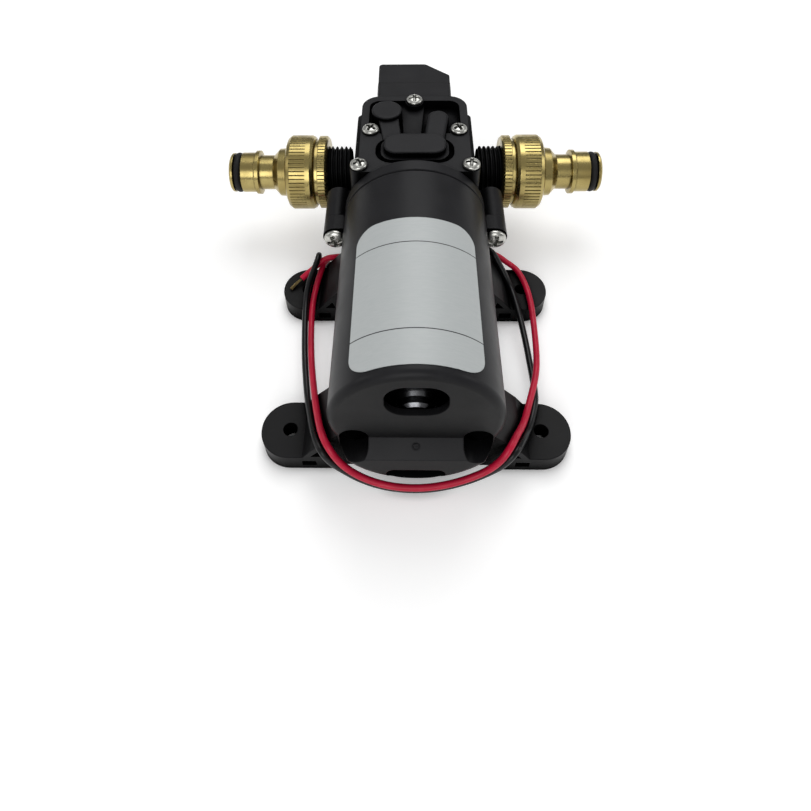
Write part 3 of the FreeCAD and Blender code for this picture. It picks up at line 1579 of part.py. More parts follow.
def make_connector(label, side):
    """Knurled nut and hose spigot in one turned piece."""
    body = side_body(label, side)
    start, nut_end = nut_marks()
    flare, neck, bead, barrel, seat, lip = spigot_marks()
    inside = d.reducer_male_radius + d.thread_gap
    shoulder = washer_start() + d.washer_thickness
    round_off = d.nut_radius - d.nut_shoulder
    turn(body, "x", [
        (start, inside),
        (start, round_off),
        (start + 0.5, d.nut_radius - 0.6),
        (start + 1.6, d.nut_radius),
        (nut_end - 2.0, d.nut_radius),
        (nut_end - 0.7, d.nut_radius - 0.9),
        (nut_end, d.nut_radius - d.nut_wall),
        (nut_end, d.flare_radius),
        (flare - 2.4, d.flare_radius - 0.3),
        (flare, d.spigot_neck_radius),
        (neck, d.spigot_neck_radius),
        (neck + 0.3, d.bead_radius),
        (bead - 0.3, d.bead_radius),
        (bead, d.barrel_radius),
        (barrel, d.barrel_radius),
        (barrel, d.groove_radius),
        (seat, d.groove_radius),
        (seat, d.lip_radius),
        (lip - 0.6, d.lip_radius),
        (lip, d.lip_radius - 0.6),
        (lip, d.spigot_bore),
        (shoulder, d.spigot_bore),
        (shoulder, inside),
    ])
    zone_end = nut_end - 1.9
    knurl(body, zone_end - d.knurl_zone, zone_end, d.nut_radius)
    return body


def make_oring(label, side):
    """O-ring in the spigot's groove."""
    ring = doc.addObject("Part::Torus", label)
    ring.Label = label
    barrel = spigot_marks()[3]
    ring.Placement.Rotation = FreeCAD.Rotation(Vector(0, 1, 0), 90)
    bind(ring, "Radius1", d.groove_radius + d.oring_wire)
    bind(ring, "Radius2", d.oring_wire)
    bind(ring, "Placement.Base.x", side * (barrel + d.groove_length / 2))
    bind(ring, "Placement.Base.y", joint_y + d.port_setback)
    bind(ring, "Placement.Base.z", d.axis_height - d.port_drop)
    SUBPARTS.append(ring)
    return ring


# Leads


def tube_along(points, radius, name):
    """A tube of straight runs joined by tangent arcs, each as large as its two runs allow."""
    spots = [Vector(*point) for point in points]
    edges = []
    start = spots[0]
    smallest = None
    for before, corner, after in zip(spots, spots[1:], spots[2:]):
        back = before - corner
        ahead = after - corner
        half_turn = (math.pi - back.getAngle(ahead)) / 2
        reach = 0.45 * min(back.Length, ahead.Length)
        bend = reach / math.tan(half_turn)
        smallest = bend if smallest is None else min(smallest, bend)
        enter = corner + back.normalize() * reach
        leave = corner + ahead.normalize() * reach
        inward = (back + ahead).normalize()
        crown = corner + inward * (bend / math.cos(half_turn) - bend)
        edges.append(Part.LineSegment(start, enter).toShape())
        edges.append(Part.Arc(enter, crown, leave).toShape())
        start = leave
    edges.append(Part.LineSegment(start, spots[-1]).toShape())
    path = Part.Wire(edges)
    way = (spots[1] - spots[0]).normalize()
    section = Part.Wire([Part.Circle(spots[0], way, radius).toShape()])
    solid = path.makePipeShell([section], True, False)
    ideal = math.pi * radius ** 2 * path.Length
    print(f"{name}: length {path.Length:.1f}, least bend {smallest:.1f},"
          f" volume {solid.Volume:.1f} of {ideal:.1f}")
    return solid


def lead_exit(side):
    """The straight start of a lead, down out of the grommet's lower face."""
    x = number(d.grommet_offset + side * d.lead_gap / 2)
    y = number(joint_y + d.head_length + grommet_along())
    z = number(d.axis_height - d.port_drop - d.switch_half_height + d.cap_inset - d.grommet_lip)
    return [(x, y, z), (x, y, z - number(d.lead_drop))]


def make_lead(label, route, radius):
    """A cord whose sizes come from the sheet and whose route is the hand-made list."""
    lead = doc.addObject("Part::Feature", label)
    lead.Label = label
    lead.Shape = tube_along(route, number(radius), label)
    SUBPARTS.append(lead)
    return lead


def make_all():
    make_foot("rear_foot", 0 - d.hole_spacing_y / 2)
    make_foot("front_foot", d.hole_spacing_y / 2)
    make_foot_screws()
    make_sleeve()
    make_label()
    make_sleeve_screws()
    make_can()
    make_end_cap()
    make_bush("rear_bush", rear_bush_low(), rear_bush_low() + d.bush_length)
    make_bush("front_bush", front_bush_high() - d.bush_length, front_bush_high())
    make_magnets()
    make_brush_holder()
    make_brushes()
    make_terminals()
    make_shaft()
    make_core()
    make_windings()
    make_commutator()
    make_eccentric()
    make_eccentric_screw()
    make_ring("bearing_inner_ring", d.journal_radius, d.inner_ring_radius, d.bearing_width / 2)
    make_ring("bearing_outer_ring", d.outer_ring_bore, d.bearing_radius, d.bearing_width / 2)
    make_balls()
    make_rod()
    make_insert()
    make_diaphragm()
    make_housing()
    make_valve_plate()
    make_valve("inlet_valve", -1, -1)
    make_valve("outlet_valve", 1, 1)
    make_seal()
    make_cover()
    make_cover_screws()
    make_sensing_disc()
    make_switch_housing()
    make_switch_screws()
    make_plunger()
    make_spring()
    make_switch_cap()
    make_microswitch()
    make_grommet()
    for name, side in (("inlet", -1), ("outlet", 1)):
        make_reducer(name + "_reducer", side)
        make_washer(name + "_washer", side)
        make_connector(name + "_connector", side)
        make_oring(name + "_oring", side)
    make_lead("red_lead", lead_exit(1) + RED_ROUTE, d.lead_radius)
    make_lead("black_lead", lead_exit(-1) + BLACK_ROUTE, d.lead_radius)
    make_lead("red_strands", RED_STRAND_ROUTE, d.strand_radius)
    make_lead("black_strands", BLACK_STRAND_ROUTE, d.strand_radius)


def check_all():
    """Stop at any failed object, and at any cut that removed nothing."""
    for item in doc.Objects:
        if "Invalid" in item.State or "Error" in item.State:
            raise RuntimeError(f"{item.Label} failed: {item.State}")
    for item in doc.Objects:
        if item.TypeId in ("PartDesign::Pocket", "PartDesign::Groove"):
            if item.Shape.Volume >= item.BaseFeature.Shape.Volume - 1e-6:
                raise RuntimeError(f"{item.Label} cuts nothing")
    for item in SUBPARTS:
        if item.Shape.isNull() or not item.Shape.isValid() or not item.Shape.Solids:
            raise RuntimeError(f"{item.Label} has no valid solid")


make_all()
doc.recompute()
check_all()
os.makedirs("parts", exist_ok=True)
for subpart in SUBPARTS:
    subpart.Shape.exportStep(f"parts/{subpart.Label}.step")
print(len(SUBPARTS), "sub-parts")
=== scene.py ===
import json
import math

import bpy
import numpy as np
from mathutils import Matrix, Vector


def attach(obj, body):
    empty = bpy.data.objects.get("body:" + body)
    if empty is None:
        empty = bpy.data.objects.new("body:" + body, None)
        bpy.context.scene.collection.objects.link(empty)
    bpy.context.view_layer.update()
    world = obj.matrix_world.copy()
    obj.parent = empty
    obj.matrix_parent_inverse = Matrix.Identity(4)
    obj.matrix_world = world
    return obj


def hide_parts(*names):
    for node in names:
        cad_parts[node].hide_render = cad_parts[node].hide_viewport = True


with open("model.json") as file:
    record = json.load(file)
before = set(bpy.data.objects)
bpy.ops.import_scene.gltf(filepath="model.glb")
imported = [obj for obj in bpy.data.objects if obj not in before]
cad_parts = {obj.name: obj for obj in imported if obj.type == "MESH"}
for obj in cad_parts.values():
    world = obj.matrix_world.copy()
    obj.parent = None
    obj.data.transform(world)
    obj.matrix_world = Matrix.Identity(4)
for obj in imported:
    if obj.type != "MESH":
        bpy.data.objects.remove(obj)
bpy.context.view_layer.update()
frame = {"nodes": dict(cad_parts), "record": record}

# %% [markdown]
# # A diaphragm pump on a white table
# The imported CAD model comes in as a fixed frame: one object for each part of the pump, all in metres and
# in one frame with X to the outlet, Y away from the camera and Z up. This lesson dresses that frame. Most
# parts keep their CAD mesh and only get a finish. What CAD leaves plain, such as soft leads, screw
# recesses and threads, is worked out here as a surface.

MM = 0.001
slot_of = {part["node"]: part["material_slot"] for part in frame["record"]["subparts"]}

# %% [markdown]
# ## The camera
# The photograph looks down on the pump from behind the motor. Its place, its tilt and the length of its
# lens were worked out from the four bolt holes, the screws and the round rims, whose real places are
# known. The pump sits high in the frame, so the lens is shifted a little, as on a view camera, and the
# upright lines stay as they are in the photograph.

# %% Camera
FRAME_PX = 811.0
FOCAL_PX = 672.2
CENTRE_PX = (393.27, 250.0)
camera_data = bpy.data.cameras.new("camera")
camera_data.sensor_width = 36.0
camera_data.lens = FOCAL_PX / FRAME_PX * camera_data.sensor_width
camera_data.shift_x = (FRAME_PX / 2 - CENTRE_PX[0]) / FRAME_PX
camera_data.shift_y = (CENTRE_PX[1] - FRAME_PX / 2) / FRAME_PX
camera_data.clip_start = 0.01
camera = bpy.data.objects.new("camera", camera_data)
bpy.context.scene.collection.objects.link(camera)
bpy.context.scene.camera = camera


def camera_turn(pitch, yaw, roll):
    """Axes of a camera that looks along +Y, turned by yaw, tipped down by pitch and rolled, in degrees."""
    p, y, r = (math.radians(angle) for angle in (pitch, yaw, roll))
    ahead = Vector((math.sin(y) * math.cos(p), math.cos(y) * math.cos(p), -math.sin(p)))
    level = Vector((math.cos(y), -math.sin(y), 0))
    up = level.cross(ahead)
    right = math.cos(r) * level + math.sin(r) * up
    upright = math.cos(r) * up - math.sin(r) * level
    return Matrix((right, upright, -ahead)).transposed()


CAMERA_PLACE = Vector((-2.04, -135.84, 212.42)) * MM
CAMERA_PITCH, CAMERA_YAW, CAMERA_ROLL = 47.676, -2.02, -1.472
turn = camera_turn(CAMERA_PITCH, CAMERA_YAW, CAMERA_ROLL).to_4x4()
camera.matrix_world = Matrix.Translation(CAMERA_PLACE) @ turn
print(f"lens {camera_data.lens:.1f} mm, shift {camera_data.shift_x:.3f}, {camera_data.shift_y:.3f}")

# %% [markdown]
# ## The two leads
# Each lead is a limp wire in PVC, 2.3 mm thick. It leaves a rubber grommet under the pressure switch, runs
# on the table under the head, climbs the near bracket's shoulder and lies round the motor. A curve with a
# round bevel is the shortest way to such a shape. Its control points are those of the CAD route, a few of
# them moved to follow the photograph, and a NURBS spline of order 3 rounds every corner of it.
# A curve's box grows by the radius of its points, so that radius is small here and the bevel is as many
# times larger.

# %% Lead routes
LEAD_DIAMETER = 2.3
POINT_RADIUS = 0.001
RED_ROUTE = [
    (8.2, 114.45, 9.55), (8.2, 114.45, 2.15),
    (9.6, 105.0, 1.5), (12.8, 93.0, 1.3), (16.4, 79.0, 1.3), (20.4, 66.5, 2.0), (24.6, 56.4, 4.8),
    (28.4, 49.2, 9.0), (31.2, 44.2, 12.6), (33.9, 41.8, 13.0), (36.2, 41.3, 11.0),
    (38.6, 41.2, 9.0), (40.8, 38.8, 8.8), (42.6, 33.8, 8.8), (43.8, 27.6, 8.8), (44.3, 20.3, 8.8),
    (44.0, 9.3, 8.8), (43.4, 0.1, 9.6), (42.5, -6.6, 10.8), (41.4, -11.8, 11.2),
    (39.9, -16.5, 10.7), (38.2, -21.4, 10.1), (36.4, -26.6, 10.8), (34.3, -31.6, 13.3),
    (31.7, -36.3, 16.4), (29.6, -40.6, 19.0), (26.8, -43.8, 15.8), (22.8, -45.2, 11.0),
    (17.5, -46.6, 8.6), (11.0, -48.2, 7.4), (3.5, -49.3, 6.9), (-4.3, -49.4, 7.0),
    (-11.7, -48.5, 7.9), (-18.2, -46.9, 10.2), (-22.9, -45.4, 14.4), (-25.8, -43.6, 18.8),
    (-28.4, -40.0, 20.7), (-30.4, -34.4, 18.1), (-32.1, -27.9, 15.6), (-33.5, -21.8, 13.9),
    (-35.2, -13.4, 11.3), (-36.7, -5.1, 9.6), (-37.7, 2.6, 8.9), (-38.5, 11.2, 8.7),
    (-39.0, 20.4, 8.8), (-38.6, 27.8, 8.8), (-37.9, 33.4, 9.0), (-37.0, 37.8, 9.8),
    (-36.0, 42.0, 10.1), (-33.6, 45.8, 8.6), (-29.8, 47.4, 7.4), (-26.8, 45.6, 8.6),
    (-27.6, 42.5, 11.4), (-31.8, 41.7, 13.5), (-35.4, 40.7, 13.4), (-38.3, 38.4, 12.1),
    (-41.2, 35.9, 11.2), (-44.3, 33.2, 9.9),
]
BLACK_ROUTE = [
    (4.8, 114.45, 9.55), (4.8, 114.45, 2.15),
    (5.8, 105.0, 1.5), (8.2, 94.0, 1.3), (11.8, 81.0, 1.3), (15.6, 69.0, 1.8), (19.6, 58.8, 4.0),
    (23.4, 51.6, 7.2), (26.0, 46.4, 12.4), (28.0, 42.6, 17.8), (30.5, 39.2, 18.5),
    (32.6, 37.0, 15.2), (34.5, 34.6, 12.8), (36.3, 31.8, 10.2), (37.7, 27.6, 9.0),
    (38.8, 20.3, 8.8), (39.8, 13.1, 8.0), (40.6, 4.8, 7.2), (41.0, -3.4, 6.9), (41.3, -10.1, 7.0),
    (41.1, -16.7, 8.0), (40.4, -20.9, 8.9), (38.9, -25.9, 9.0), (36.8, -31.2, 10.1),
    (34.1, -36.7, 13.8), (31.0, -41.8, 16.6), (27.6, -44.1, 12.8), (23.1, -44.6, 7.8),
    (17.2, -45.9, 4.9), (10.5, -47.3, 3.6), (3.3, -48.2, 3.0), (-4.3, -48.2, 3.0),
    (-11.6, -47.4, 3.8), (-18.2, -46.0, 6.0), (-23.1, -44.8, 9.8), (-26.6, -44.3, 14.0),
    (-29.1, -42.9, 17.9), (-31.7, -38.0, 16.9), (-33.5, -32.2, 14.3), (-35.3, -25.1, 11.3),
    (-36.9, -18.3, 9.3), (-38.0, -12.0, 8.9), (-39.2, -4.6, 8.6), (-40.1, 2.7, 8.5),
    (-40.9, 11.2, 8.6), (-41.4, 18.6, 9.2), (-41.4, 24.4, 10.6), (-40.7, 29.2, 12.6),
    (-39.3, 33.0, 14.6), (-37.9, 36.6, 16.3), (-37.4, 40.0, 16.7), (-38.1, 42.8, 12.8),
    (-38.4, 44.3, 8.6), (-37.2, 44.6, 5.4), (-35.2, 47.2, 2.6),
]
print(f"{len(RED_ROUTE)} and {len(BLACK_ROUTE)} control points")

# %% Lead curves


def cord_curve(name, route, diameter):
    """A round cord along a NURBS spline whose control points are the route's points."""
    data = bpy.data.curves.new(name, "CURVE")
    data.dimensions = "3D"
    data.bevel_depth = diameter / 2 * MM / POINT_RADIUS
    data.bevel_resolution = 5
    data.use_fill_caps = True
    data.resolution_u = 8
    spline = data.splines.new("NURBS")
    spline.points.add(len(route) - 1)
    points = np.ones((len(route), 4))
    points[:, :3] = np.array(route) * MM
    spline.points.foreach_set("co", points.ravel())
    spline.points.foreach_set("radius", np.full(len(route), POINT_RADIUS))
    spline.order_u = 3
    spline.use_endpoint_u = True
    piece = bpy.data.objects.new(name, data)
    bpy.context.scene.collection.objects.link(piece)
    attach(piece, "pump")
    return piece


red_lead = cord_curve("red_wire", RED_ROUTE, LEAD_DIAMETER)
black_lead = cord_curve("black_wire", BLACK_ROUTE, LEAD_DIAMETER)
print(f"two leads, {LEAD_DIAMETER} mm thick")

# %% [markdown]
# ## Stripped wire ends
# The insulation is stripped back from each lead's end, and the fine copper strands under it are twisted
# into a loose bundle. One strand is a helix round the bundle's line, so the whole bundle is a few thin
# tubes that share one formula. Seven bevelled curves would look the same, but a bundle in one mesh stays
# one piece. A tube is a grid of points that closes on itself, and so are most surfaces further down, so
# the grid comes first.

# %% Grids and surfaces


def grid_faces(rows, columns, round_rows=False, round_columns=False):
    """Four-sided faces of a rows by columns grid, joined to itself where it is round."""
    i = np.arange(rows if round_rows else rows - 1)[:, None]
    j = np.arange(columns if round_columns else columns - 1)[None, :]
    following_i = (i + 1) % rows
    following_j = (j + 1) % columns
    corners = [i * columns + j, following_i * columns + j,
               following_i * columns + following_j, i * columns + following_j]
    return np.stack([np.broadcast_to(c, (i.size, j.size)) for c in corners], axis=-1).reshape(-1, 4)


def surface(name, points, faces, body):
    """A smooth mesh piece from points in millimetres and faces, riding on a body."""
    mesh = bpy.data.meshes.new(name)
    mesh.from_pydata((np.reshape(points, (-1, 3)) * MM).tolist(), [], faces.tolist())
    mesh.polygons.foreach_set("use_smooth", np.full(len(mesh.polygons), True))
    mesh.update()
    piece = bpy.data.objects.new(name, mesh)
    bpy.context.scene.collection.objects.link(piece)
    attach(piece, body)
    return piece


print(f"3 by 4 points make {len(grid_faces(3, 4))} faces, or {len(grid_faces(3, 4, False, True))} as a tube")

# %% Strands
STRAND_COUNT = 7
STRAND_THICKNESS = 0.34
STRAND_STEPS, STRAND_SIDES = 14, 6
STRAND_TWIST = 2.4
BUNDLE_RADIUS = 0.36
RED_STRIPPED = [(-44.3, 33.2, 9.9), (-46.6, 31.2, 8.94), (-48.2, 29.2, 8.3)]
BLACK_STRIPPED = [(-35.2, 47.2, 2.6), (-34.2, 48.5, 1.2), (-31.9, 49.9, 0.9)]


def bundle(name, route):
    """Strands round a line: point = line(t) + reach(t) * (cos a, sin a) with a = 2 pi k / n + twist * t.

    The last strand is the core and stays on the line. The others start at 0.8 of the bundle's radius and
    spread to 1.3 of it.
    """
    line = np.array(route, dtype=float)
    t = np.linspace(0, 1, STRAND_STEPS)
    along = np.stack([np.interp(t * (len(line) - 1), np.arange(len(line)), line[:, k]) for k in range(3)], 1)
    ahead = np.gradient(along, axis=0)
    ahead /= np.linalg.norm(ahead, axis=1, keepdims=True)
    side = np.cross(ahead, (0, 0, 1.0))
    side /= np.linalg.norm(side, axis=1, keepdims=True)
    over = np.cross(side, ahead)
    ring = np.linspace(0, 2 * np.pi, STRAND_SIDES, endpoint=False)
    points = []
    faces = []
    for k in range(STRAND_COUNT):
        angle = 2 * np.pi * k / (STRAND_COUNT - 1) + STRAND_TWIST * t
        reach = 0.0 if k == STRAND_COUNT - 1 else BUNDLE_RADIUS * (0.8 + 0.5 * t)
        middle = along + (np.cos(angle) * reach)[:, None] * side + (np.sin(angle) * reach)[:, None] * over
        round_off = STRAND_THICKNESS / 2 * (np.cos(ring)[None, :, None] * side[:, None, :]
                                            + np.sin(ring)[None, :, None] * over[:, None, :])
        faces.append(grid_faces(len(t), len(ring), round_columns=True) + k * len(t) * len(ring))
        points.append(middle[:, None, :] + round_off)
    return surface(name, np.concatenate([p.reshape(-1, 3) for p in points]), np.concatenate(faces), "pump")


red_ends = bundle("red_stripped_end", RED_STRIPPED)
black_ends = bundle("black_stripped_end", BLACK_STRIPPED)
print(f"{STRAND_COUNT} strands at each lead's end")

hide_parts("red_lead")
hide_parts("black_lead")
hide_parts("red_strands")
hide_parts("black_strands")
print("two cords, each with its stripped end")

# %% [markdown]
# ## Colours and nodes
# Colours are picked as sRGB hex values, the way a paint chart or a screen gives them, but shader sockets
# want linear light, so one function turns them. A second small function adds a node with its settings and
# links, which keeps each finish down to a few readable lines. Every texture is worked out in the object's
# own coordinates, so it has a real size in millimetres, needs no unwrapping and moves with its part.

# %% Colours and nodes


def colour(hex_value):
    """Linear RGBA of an sRGB hex colour: c / 12.92 below 0.04045, else ((c + 0.055) / 1.055) ** 2.4."""
    channels = np.array([int(hex_value[i:i + 2], 16) / 255 for i in (1, 3, 5)])
    linear = np.where(channels <= 0.04045, channels / 12.92, ((channels + 0.055) / 1.055) ** 2.4)
    return (*linear.tolist(), 1.0)


def add(tree, kind, settings=None, inputs=None):
    """Add a node. Settings are its own fields; inputs are socket values, or sockets to link from."""
    node = tree.nodes.new(kind)
    for field, value in (settings or {}).items():
        setattr(node, field, value)
    for socket, value in (inputs or {}).items():
        if isinstance(value, bpy.types.NodeSocket):
            tree.links.new(value, node.inputs[socket])
        else:
            node.inputs[socket].default_value = value
    return node


def mix(tree, factor, first, second):
    """A colour between two colours, each an RGBA value or a socket."""
    return add(tree, "ShaderNodeMix", {"data_type": "RGBA"}, {
        "Factor": factor, "A": first, "B": second}).outputs["Result"]


def calculate(tree, operation, *values):
    """The result of a Math node on numbers or sockets."""
    return add(tree, "ShaderNodeMath", {"operation": operation}, dict(enumerate(values))).outputs["Value"]


def finish_for(name, **shader_values):
    """A material with one Principled shader. Returns the material, its tree and the shader."""
    material = bpy.data.materials.new(name)
    material.use_nodes = True
    tree = material.node_tree
    shader = tree.nodes["Principled BSDF"]
    for socket, value in shader_values.items():
        shader.inputs[socket.replace("_", " ")].default_value = value
    return material, tree, shader


print(f"mid grey #808080 is {colour('#808080')[0]:.3f} in linear light")

# %% Textures
OPEN_FROM, OPEN_TO = 0.5, 0.92


def per_mm(size):
    """Texture scale for a feature of that size in millimetres, in metre coordinates."""
    return 1 / (size * MM)


def bump(tree, shader, height, strength, depth, edge=0.0):
    """Height map into the shader's normal. Depth and the rounding of sharp edges are in millimetres."""
    node = add(tree, "ShaderNodeBump", inputs={
        "Height": height, "Strength": strength, "Distance": depth * MM})
    if edge:
        rounded = add(tree, "ShaderNodeBevel", {"samples": 6}, {"Radius": edge * MM})
        tree.links.new(rounded.outputs["Normal"], node.inputs["Normal"])
    tree.links.new(node.outputs["Normal"], shader.inputs["Normal"])


def noise_of(tree, size, detail=2.0, stretch=(1, 1, 1)):
    """Noise whose grain has that size in millimetres, longer along an axis whose stretch is small."""
    place = add(tree, "ShaderNodeTexCoord").outputs["Object"]
    scaled = add(tree, "ShaderNodeMapping", inputs={"Vector": place, "Scale": stretch}).outputs["Vector"]
    return add(tree, "ShaderNodeTexNoise", inputs={
        "Vector": scaled, "Scale": per_mm(size), "Detail": detail}).outputs["Fac"]


def between(tree, factor, low, high, start=0.3, end=0.7):
    """A value that goes from low to high as the factor goes from start to end."""
    return add(tree, "ShaderNodeMapRange", inputs={
        "Value": factor, "From Min": start, "From Max": end, "To Min": low, "To Max": high}).outputs["Result"]


def blend_colours(tree, factor, first, second):
    """A colour between two hex colours."""
    return mix(tree, factor, colour(first), colour(second))


def openness(tree, reach, low):
    """How open a place is over that reach in millimetres: low in a narrow corner, 1 on a free face, a mask
    for painted shade.
    """
    seen = add(tree, "ShaderNodeAmbientOcclusion", {"samples": 6}, {"Distance": reach * MM}).outputs["AO"]
    return between(tree, seen, low, 1.0, start=OPEN_FROM, end=OPEN_TO)


finishes = {}
print(f"a grain of 0.5 mm is a texture scale of {per_mm(0.5):.0f}")

# %% [markdown]
# ## Black moulded plastic
# Every body part of the pump is glass-filled nylon from a spark-eroded mould: near black, dull, with a
# fine leathery grain that breaks the highlights up. A broad cloudy change of gloss shows where hands and
# the mould have polished it. The grain of the real part is about 0.15 mm. It is drawn at 0.35 mm, since
# a finer one doesn't show at this distance. Faces that look up get painted light from above, which makes
# them greyer than upright ones. Seams, holes and windows get painted shade, darker and less glossy than
# free faces, so both the tone and the gloss follow how open a place is. The small switch inside has a case
# of plain dark grey plastic.

# %% Moulded nylon
CLOUD_SIZE = 9.0
GRAIN_SIZE = 0.35
EDGE_ROUNDING = 0.45
NYLON_SHADE_REACH = 13.0
CASE_CLOUD_SIZE = 2.0


def moulded(name, upright_tone, top_lit_tone):
    """Black moulding: tone = upright + (top_lit - upright) * up * cloud is painted light from above, and
    painted shade darkens it where the place isn't open.
    """
    plastic, tree, shader = finish_for(name, IOR=1.5)
    cloud = noise_of(tree, CLOUD_SIZE, detail=3.0)
    facing = add(tree, "ShaderNodeTexCoord").outputs["Normal"]
    upward = add(tree, "ShaderNodeSeparateXYZ", inputs={"Vector": facing}).outputs["Z"]
    # Painted light from above: faces that look up get the lighter tone, broken up by the cloud.
    top_light_mask = between(tree, upward, 0, 1, start=0.05, end=0.6)
    painted_top_light = calculate(tree, "MULTIPLY", top_light_mask, between(tree, cloud, 0.75, 1))
    # Painted shade: an occlusion value turns narrow places near black and takes their gloss away.
    painted_shade_mask = openness(tree, NYLON_SHADE_REACH, 0.1)
    open_tone = blend_colours(tree, painted_top_light, upright_tone, top_lit_tone)
    tree.links.new(mix(tree, painted_shade_mask, colour("#030303"), open_tone), shader.inputs["Base Color"])
    tree.links.new(between(tree, painted_shade_mask, 0.0, 0.11, start=0.1, end=1), shader.inputs["Specular IOR Level"])
    tree.links.new(between(tree, cloud, 0.33, 0.42), shader.inputs["Roughness"])
    grain = noise_of(tree, GRAIN_SIZE, detail=1.0)
    bump(tree, shader, grain, strength=0.30, depth=0.04, edge=EDGE_ROUNDING)
    return plastic


finishes["black_plastic"] = moulded("moulded black nylon", "#0D0D0E", "#252527")
# The brackets get weaker painted light from above than the body.
finishes["bracket_plastic"] = moulded("moulded black bracket nylon", "#0D0D0E", "#1B1B1C")

case_plastic, tree, shader = finish_for("moulded switch case", Base_Color=colour("#2A2A2E"), IOR=1.5)
case_cloud = noise_of(tree, CASE_CLOUD_SIZE)
tree.links.new(between(tree, case_cloud, 0.4, 0.55), shader.inputs["Roughness"])
finishes["switch_case"] = case_plastic
print(f"{len(finishes)} plastics, grain {GRAIN_SIZE} mm")

# %% [markdown]
# ## The label
# The label is silver polyester film under a clear satin face. The rolled grain of the film runs round the
# sleeve, and two thin printed rules cross it. A rule is where a point's Y is less than half a line's width
# from the rule's place. Thin strips of mesh would do as well, but they would stand out of the film.

# %% Silver film
RULE_PLACES = (5.1, -27.4)
RULE_WIDTH = 0.35
FILM_GRAIN = 0.5
film, tree, shader = finish_for("silver polyester film", IOR=1.5, Specular_IOR_Level=0.4)
place = add(tree, "ShaderNodeTexCoord").outputs["Object"]
along_pump = add(tree, "ShaderNodeSeparateXYZ", inputs={"Vector": place}).outputs["Y"]
print_mask = 0.0
for rule in RULE_PLACES:
    near_rule = calculate(tree, "COMPARE", along_pump, rule * MM, RULE_WIDTH / 2 * MM)
    print_mask = calculate(tree, "MAXIMUM", print_mask, near_rule)
film_grain = noise_of(tree, FILM_GRAIN, stretch=(0.15, 1, 0.15))
silver = blend_colours(tree, between(tree, film_grain, 0, 1), "#B4B9B9", "#B9BDBD")
tree.links.new(mix(tree, print_mask, silver, colour("#2A2A2C")), shader.inputs["Base Color"])
tree.links.new(between(tree, film_grain, 0.42, 0.48), shader.inputs["Roughness"])
finishes["label_film"] = film
print(f"{len(RULE_PLACES)} rules, {RULE_WIDTH} mm wide")

# %% [markdown]
# ## Brass
# The hose fittings are turned from brass bar and lightly polished. Turning leaves fine rings round the
# fitting's own axis, which lies along X, so the rings are a noise that changes along X only. Handling
# leaves a warm, slightly browner tone in broad patches, and painted shade darkens the knurl's grooves. The
# tool's feed is about 0.1 mm. The rings are drawn at 0.5 mm, since finer ones don't show. An anisotropic
# shader could stretch the highlights too, but it needs tangents that CAD meshes don't have.

# %% Turned brass
FEED_SIZE = 0.5
PATINA_SIZE = 9.0
BRASS_SHADE_REACH = 0.8
BRASS_EDGE = 0.25
brass, tree, shader = finish_for("turned brass", Metallic=1.0)
rings = noise_of(tree, FEED_SIZE, detail=1.0, stretch=(1, 0.02, 0.02))
patina = noise_of(tree, PATINA_SIZE, detail=2.0)
unshaded_brass = blend_colours(tree, between(tree, patina, 0, 1), "#B5A56C", "#9C8B57")
# Painted shade: narrow places such as the knurl's grooves turn dark brown.
brass_tone = mix(tree, openness(tree, BRASS_SHADE_REACH, 0.15), colour("#2B2415"), unshaded_brass)
tree.links.new(brass_tone, shader.inputs["Base Color"])
tree.links.new(between(tree, patina, 0.22, 0.31), shader.inputs["Roughness"])
bump(tree, shader, rings, strength=0.12, depth=0.02, edge=BRASS_EDGE)
finishes["brass_fittings"] = brass
print(f"rings {FEED_SIZE} mm apart")

# %% [markdown]
# ## Plated and bare metals
# The screws are zinc plated and bright, with a slight frost. The motor's can and end cap are drawn steel,
# which keeps faint draw lines along the motor, and the end cap is blackened in hot oil. The shaft, the
# rings and the balls are ground steel. The core is stacked iron sheet, 0.5 mm a sheet, which shows as
# lines across the motor's axis. Painted shade darkens the narrow places, such as the screws' recesses,
# and the end cap lies deep in its sleeve, so its painted shade reaches further. These metals differ in
# numbers only, so one loop makes them all. Each row gives a slot's finish: its name, two tones, least and
# greatest roughness, and the grain's size in millimetres with its stretch.

# %% Metals
SHADE_REACH_NARROW, SHADE_REACH_DEEP = 1.2, 6.0
METALS = {
    "zinc_screws": ("bright zinc plate", "#C9C9C4", "#B4B4AE", 0.26, 0.38, 0.9, (1, 1, 1)),
    "can_steel": ("drawn steel", "#A9ABAD", "#95979A", 0.22, 0.34, 0.8, (1, 0.05, 1)),
    "blackened_steel": ("oil-blackened steel", "#77787B", "#67686B", 0.18, 0.26, 0.8, (1, 1, 1)),
    "tinned_blades": ("tinned brass", "#C6C4BC", "#B6B3A8", 0.30, 0.42, 0.8, (1, 1, 1)),
    "ground_steel": ("ground steel", "#B5B6B8", "#A4A5A8", 0.18, 0.28, 0.5, (1, 1, 0.1)),
    "core_iron": ("stacked iron sheet", "#6B6966", "#575552", 0.40, 0.55, 0.5, (0.05, 1, 0.05)),
    "sintered_bronze": ("sintered bronze", "#A9793F", "#8C6233", 0.45, 0.60, 0.4, (1, 1, 1)),
    "copper_winding": ("enamelled copper", "#B8622F", "#9C4E24", 0.25, 0.38, 0.4, (0.2, 1, 1)),
    "copper_strands": ("tinned copper strand", "#B49A6A", "#8F8458", 0.35, 0.50, 0.6, (1, 1, 1)),
}
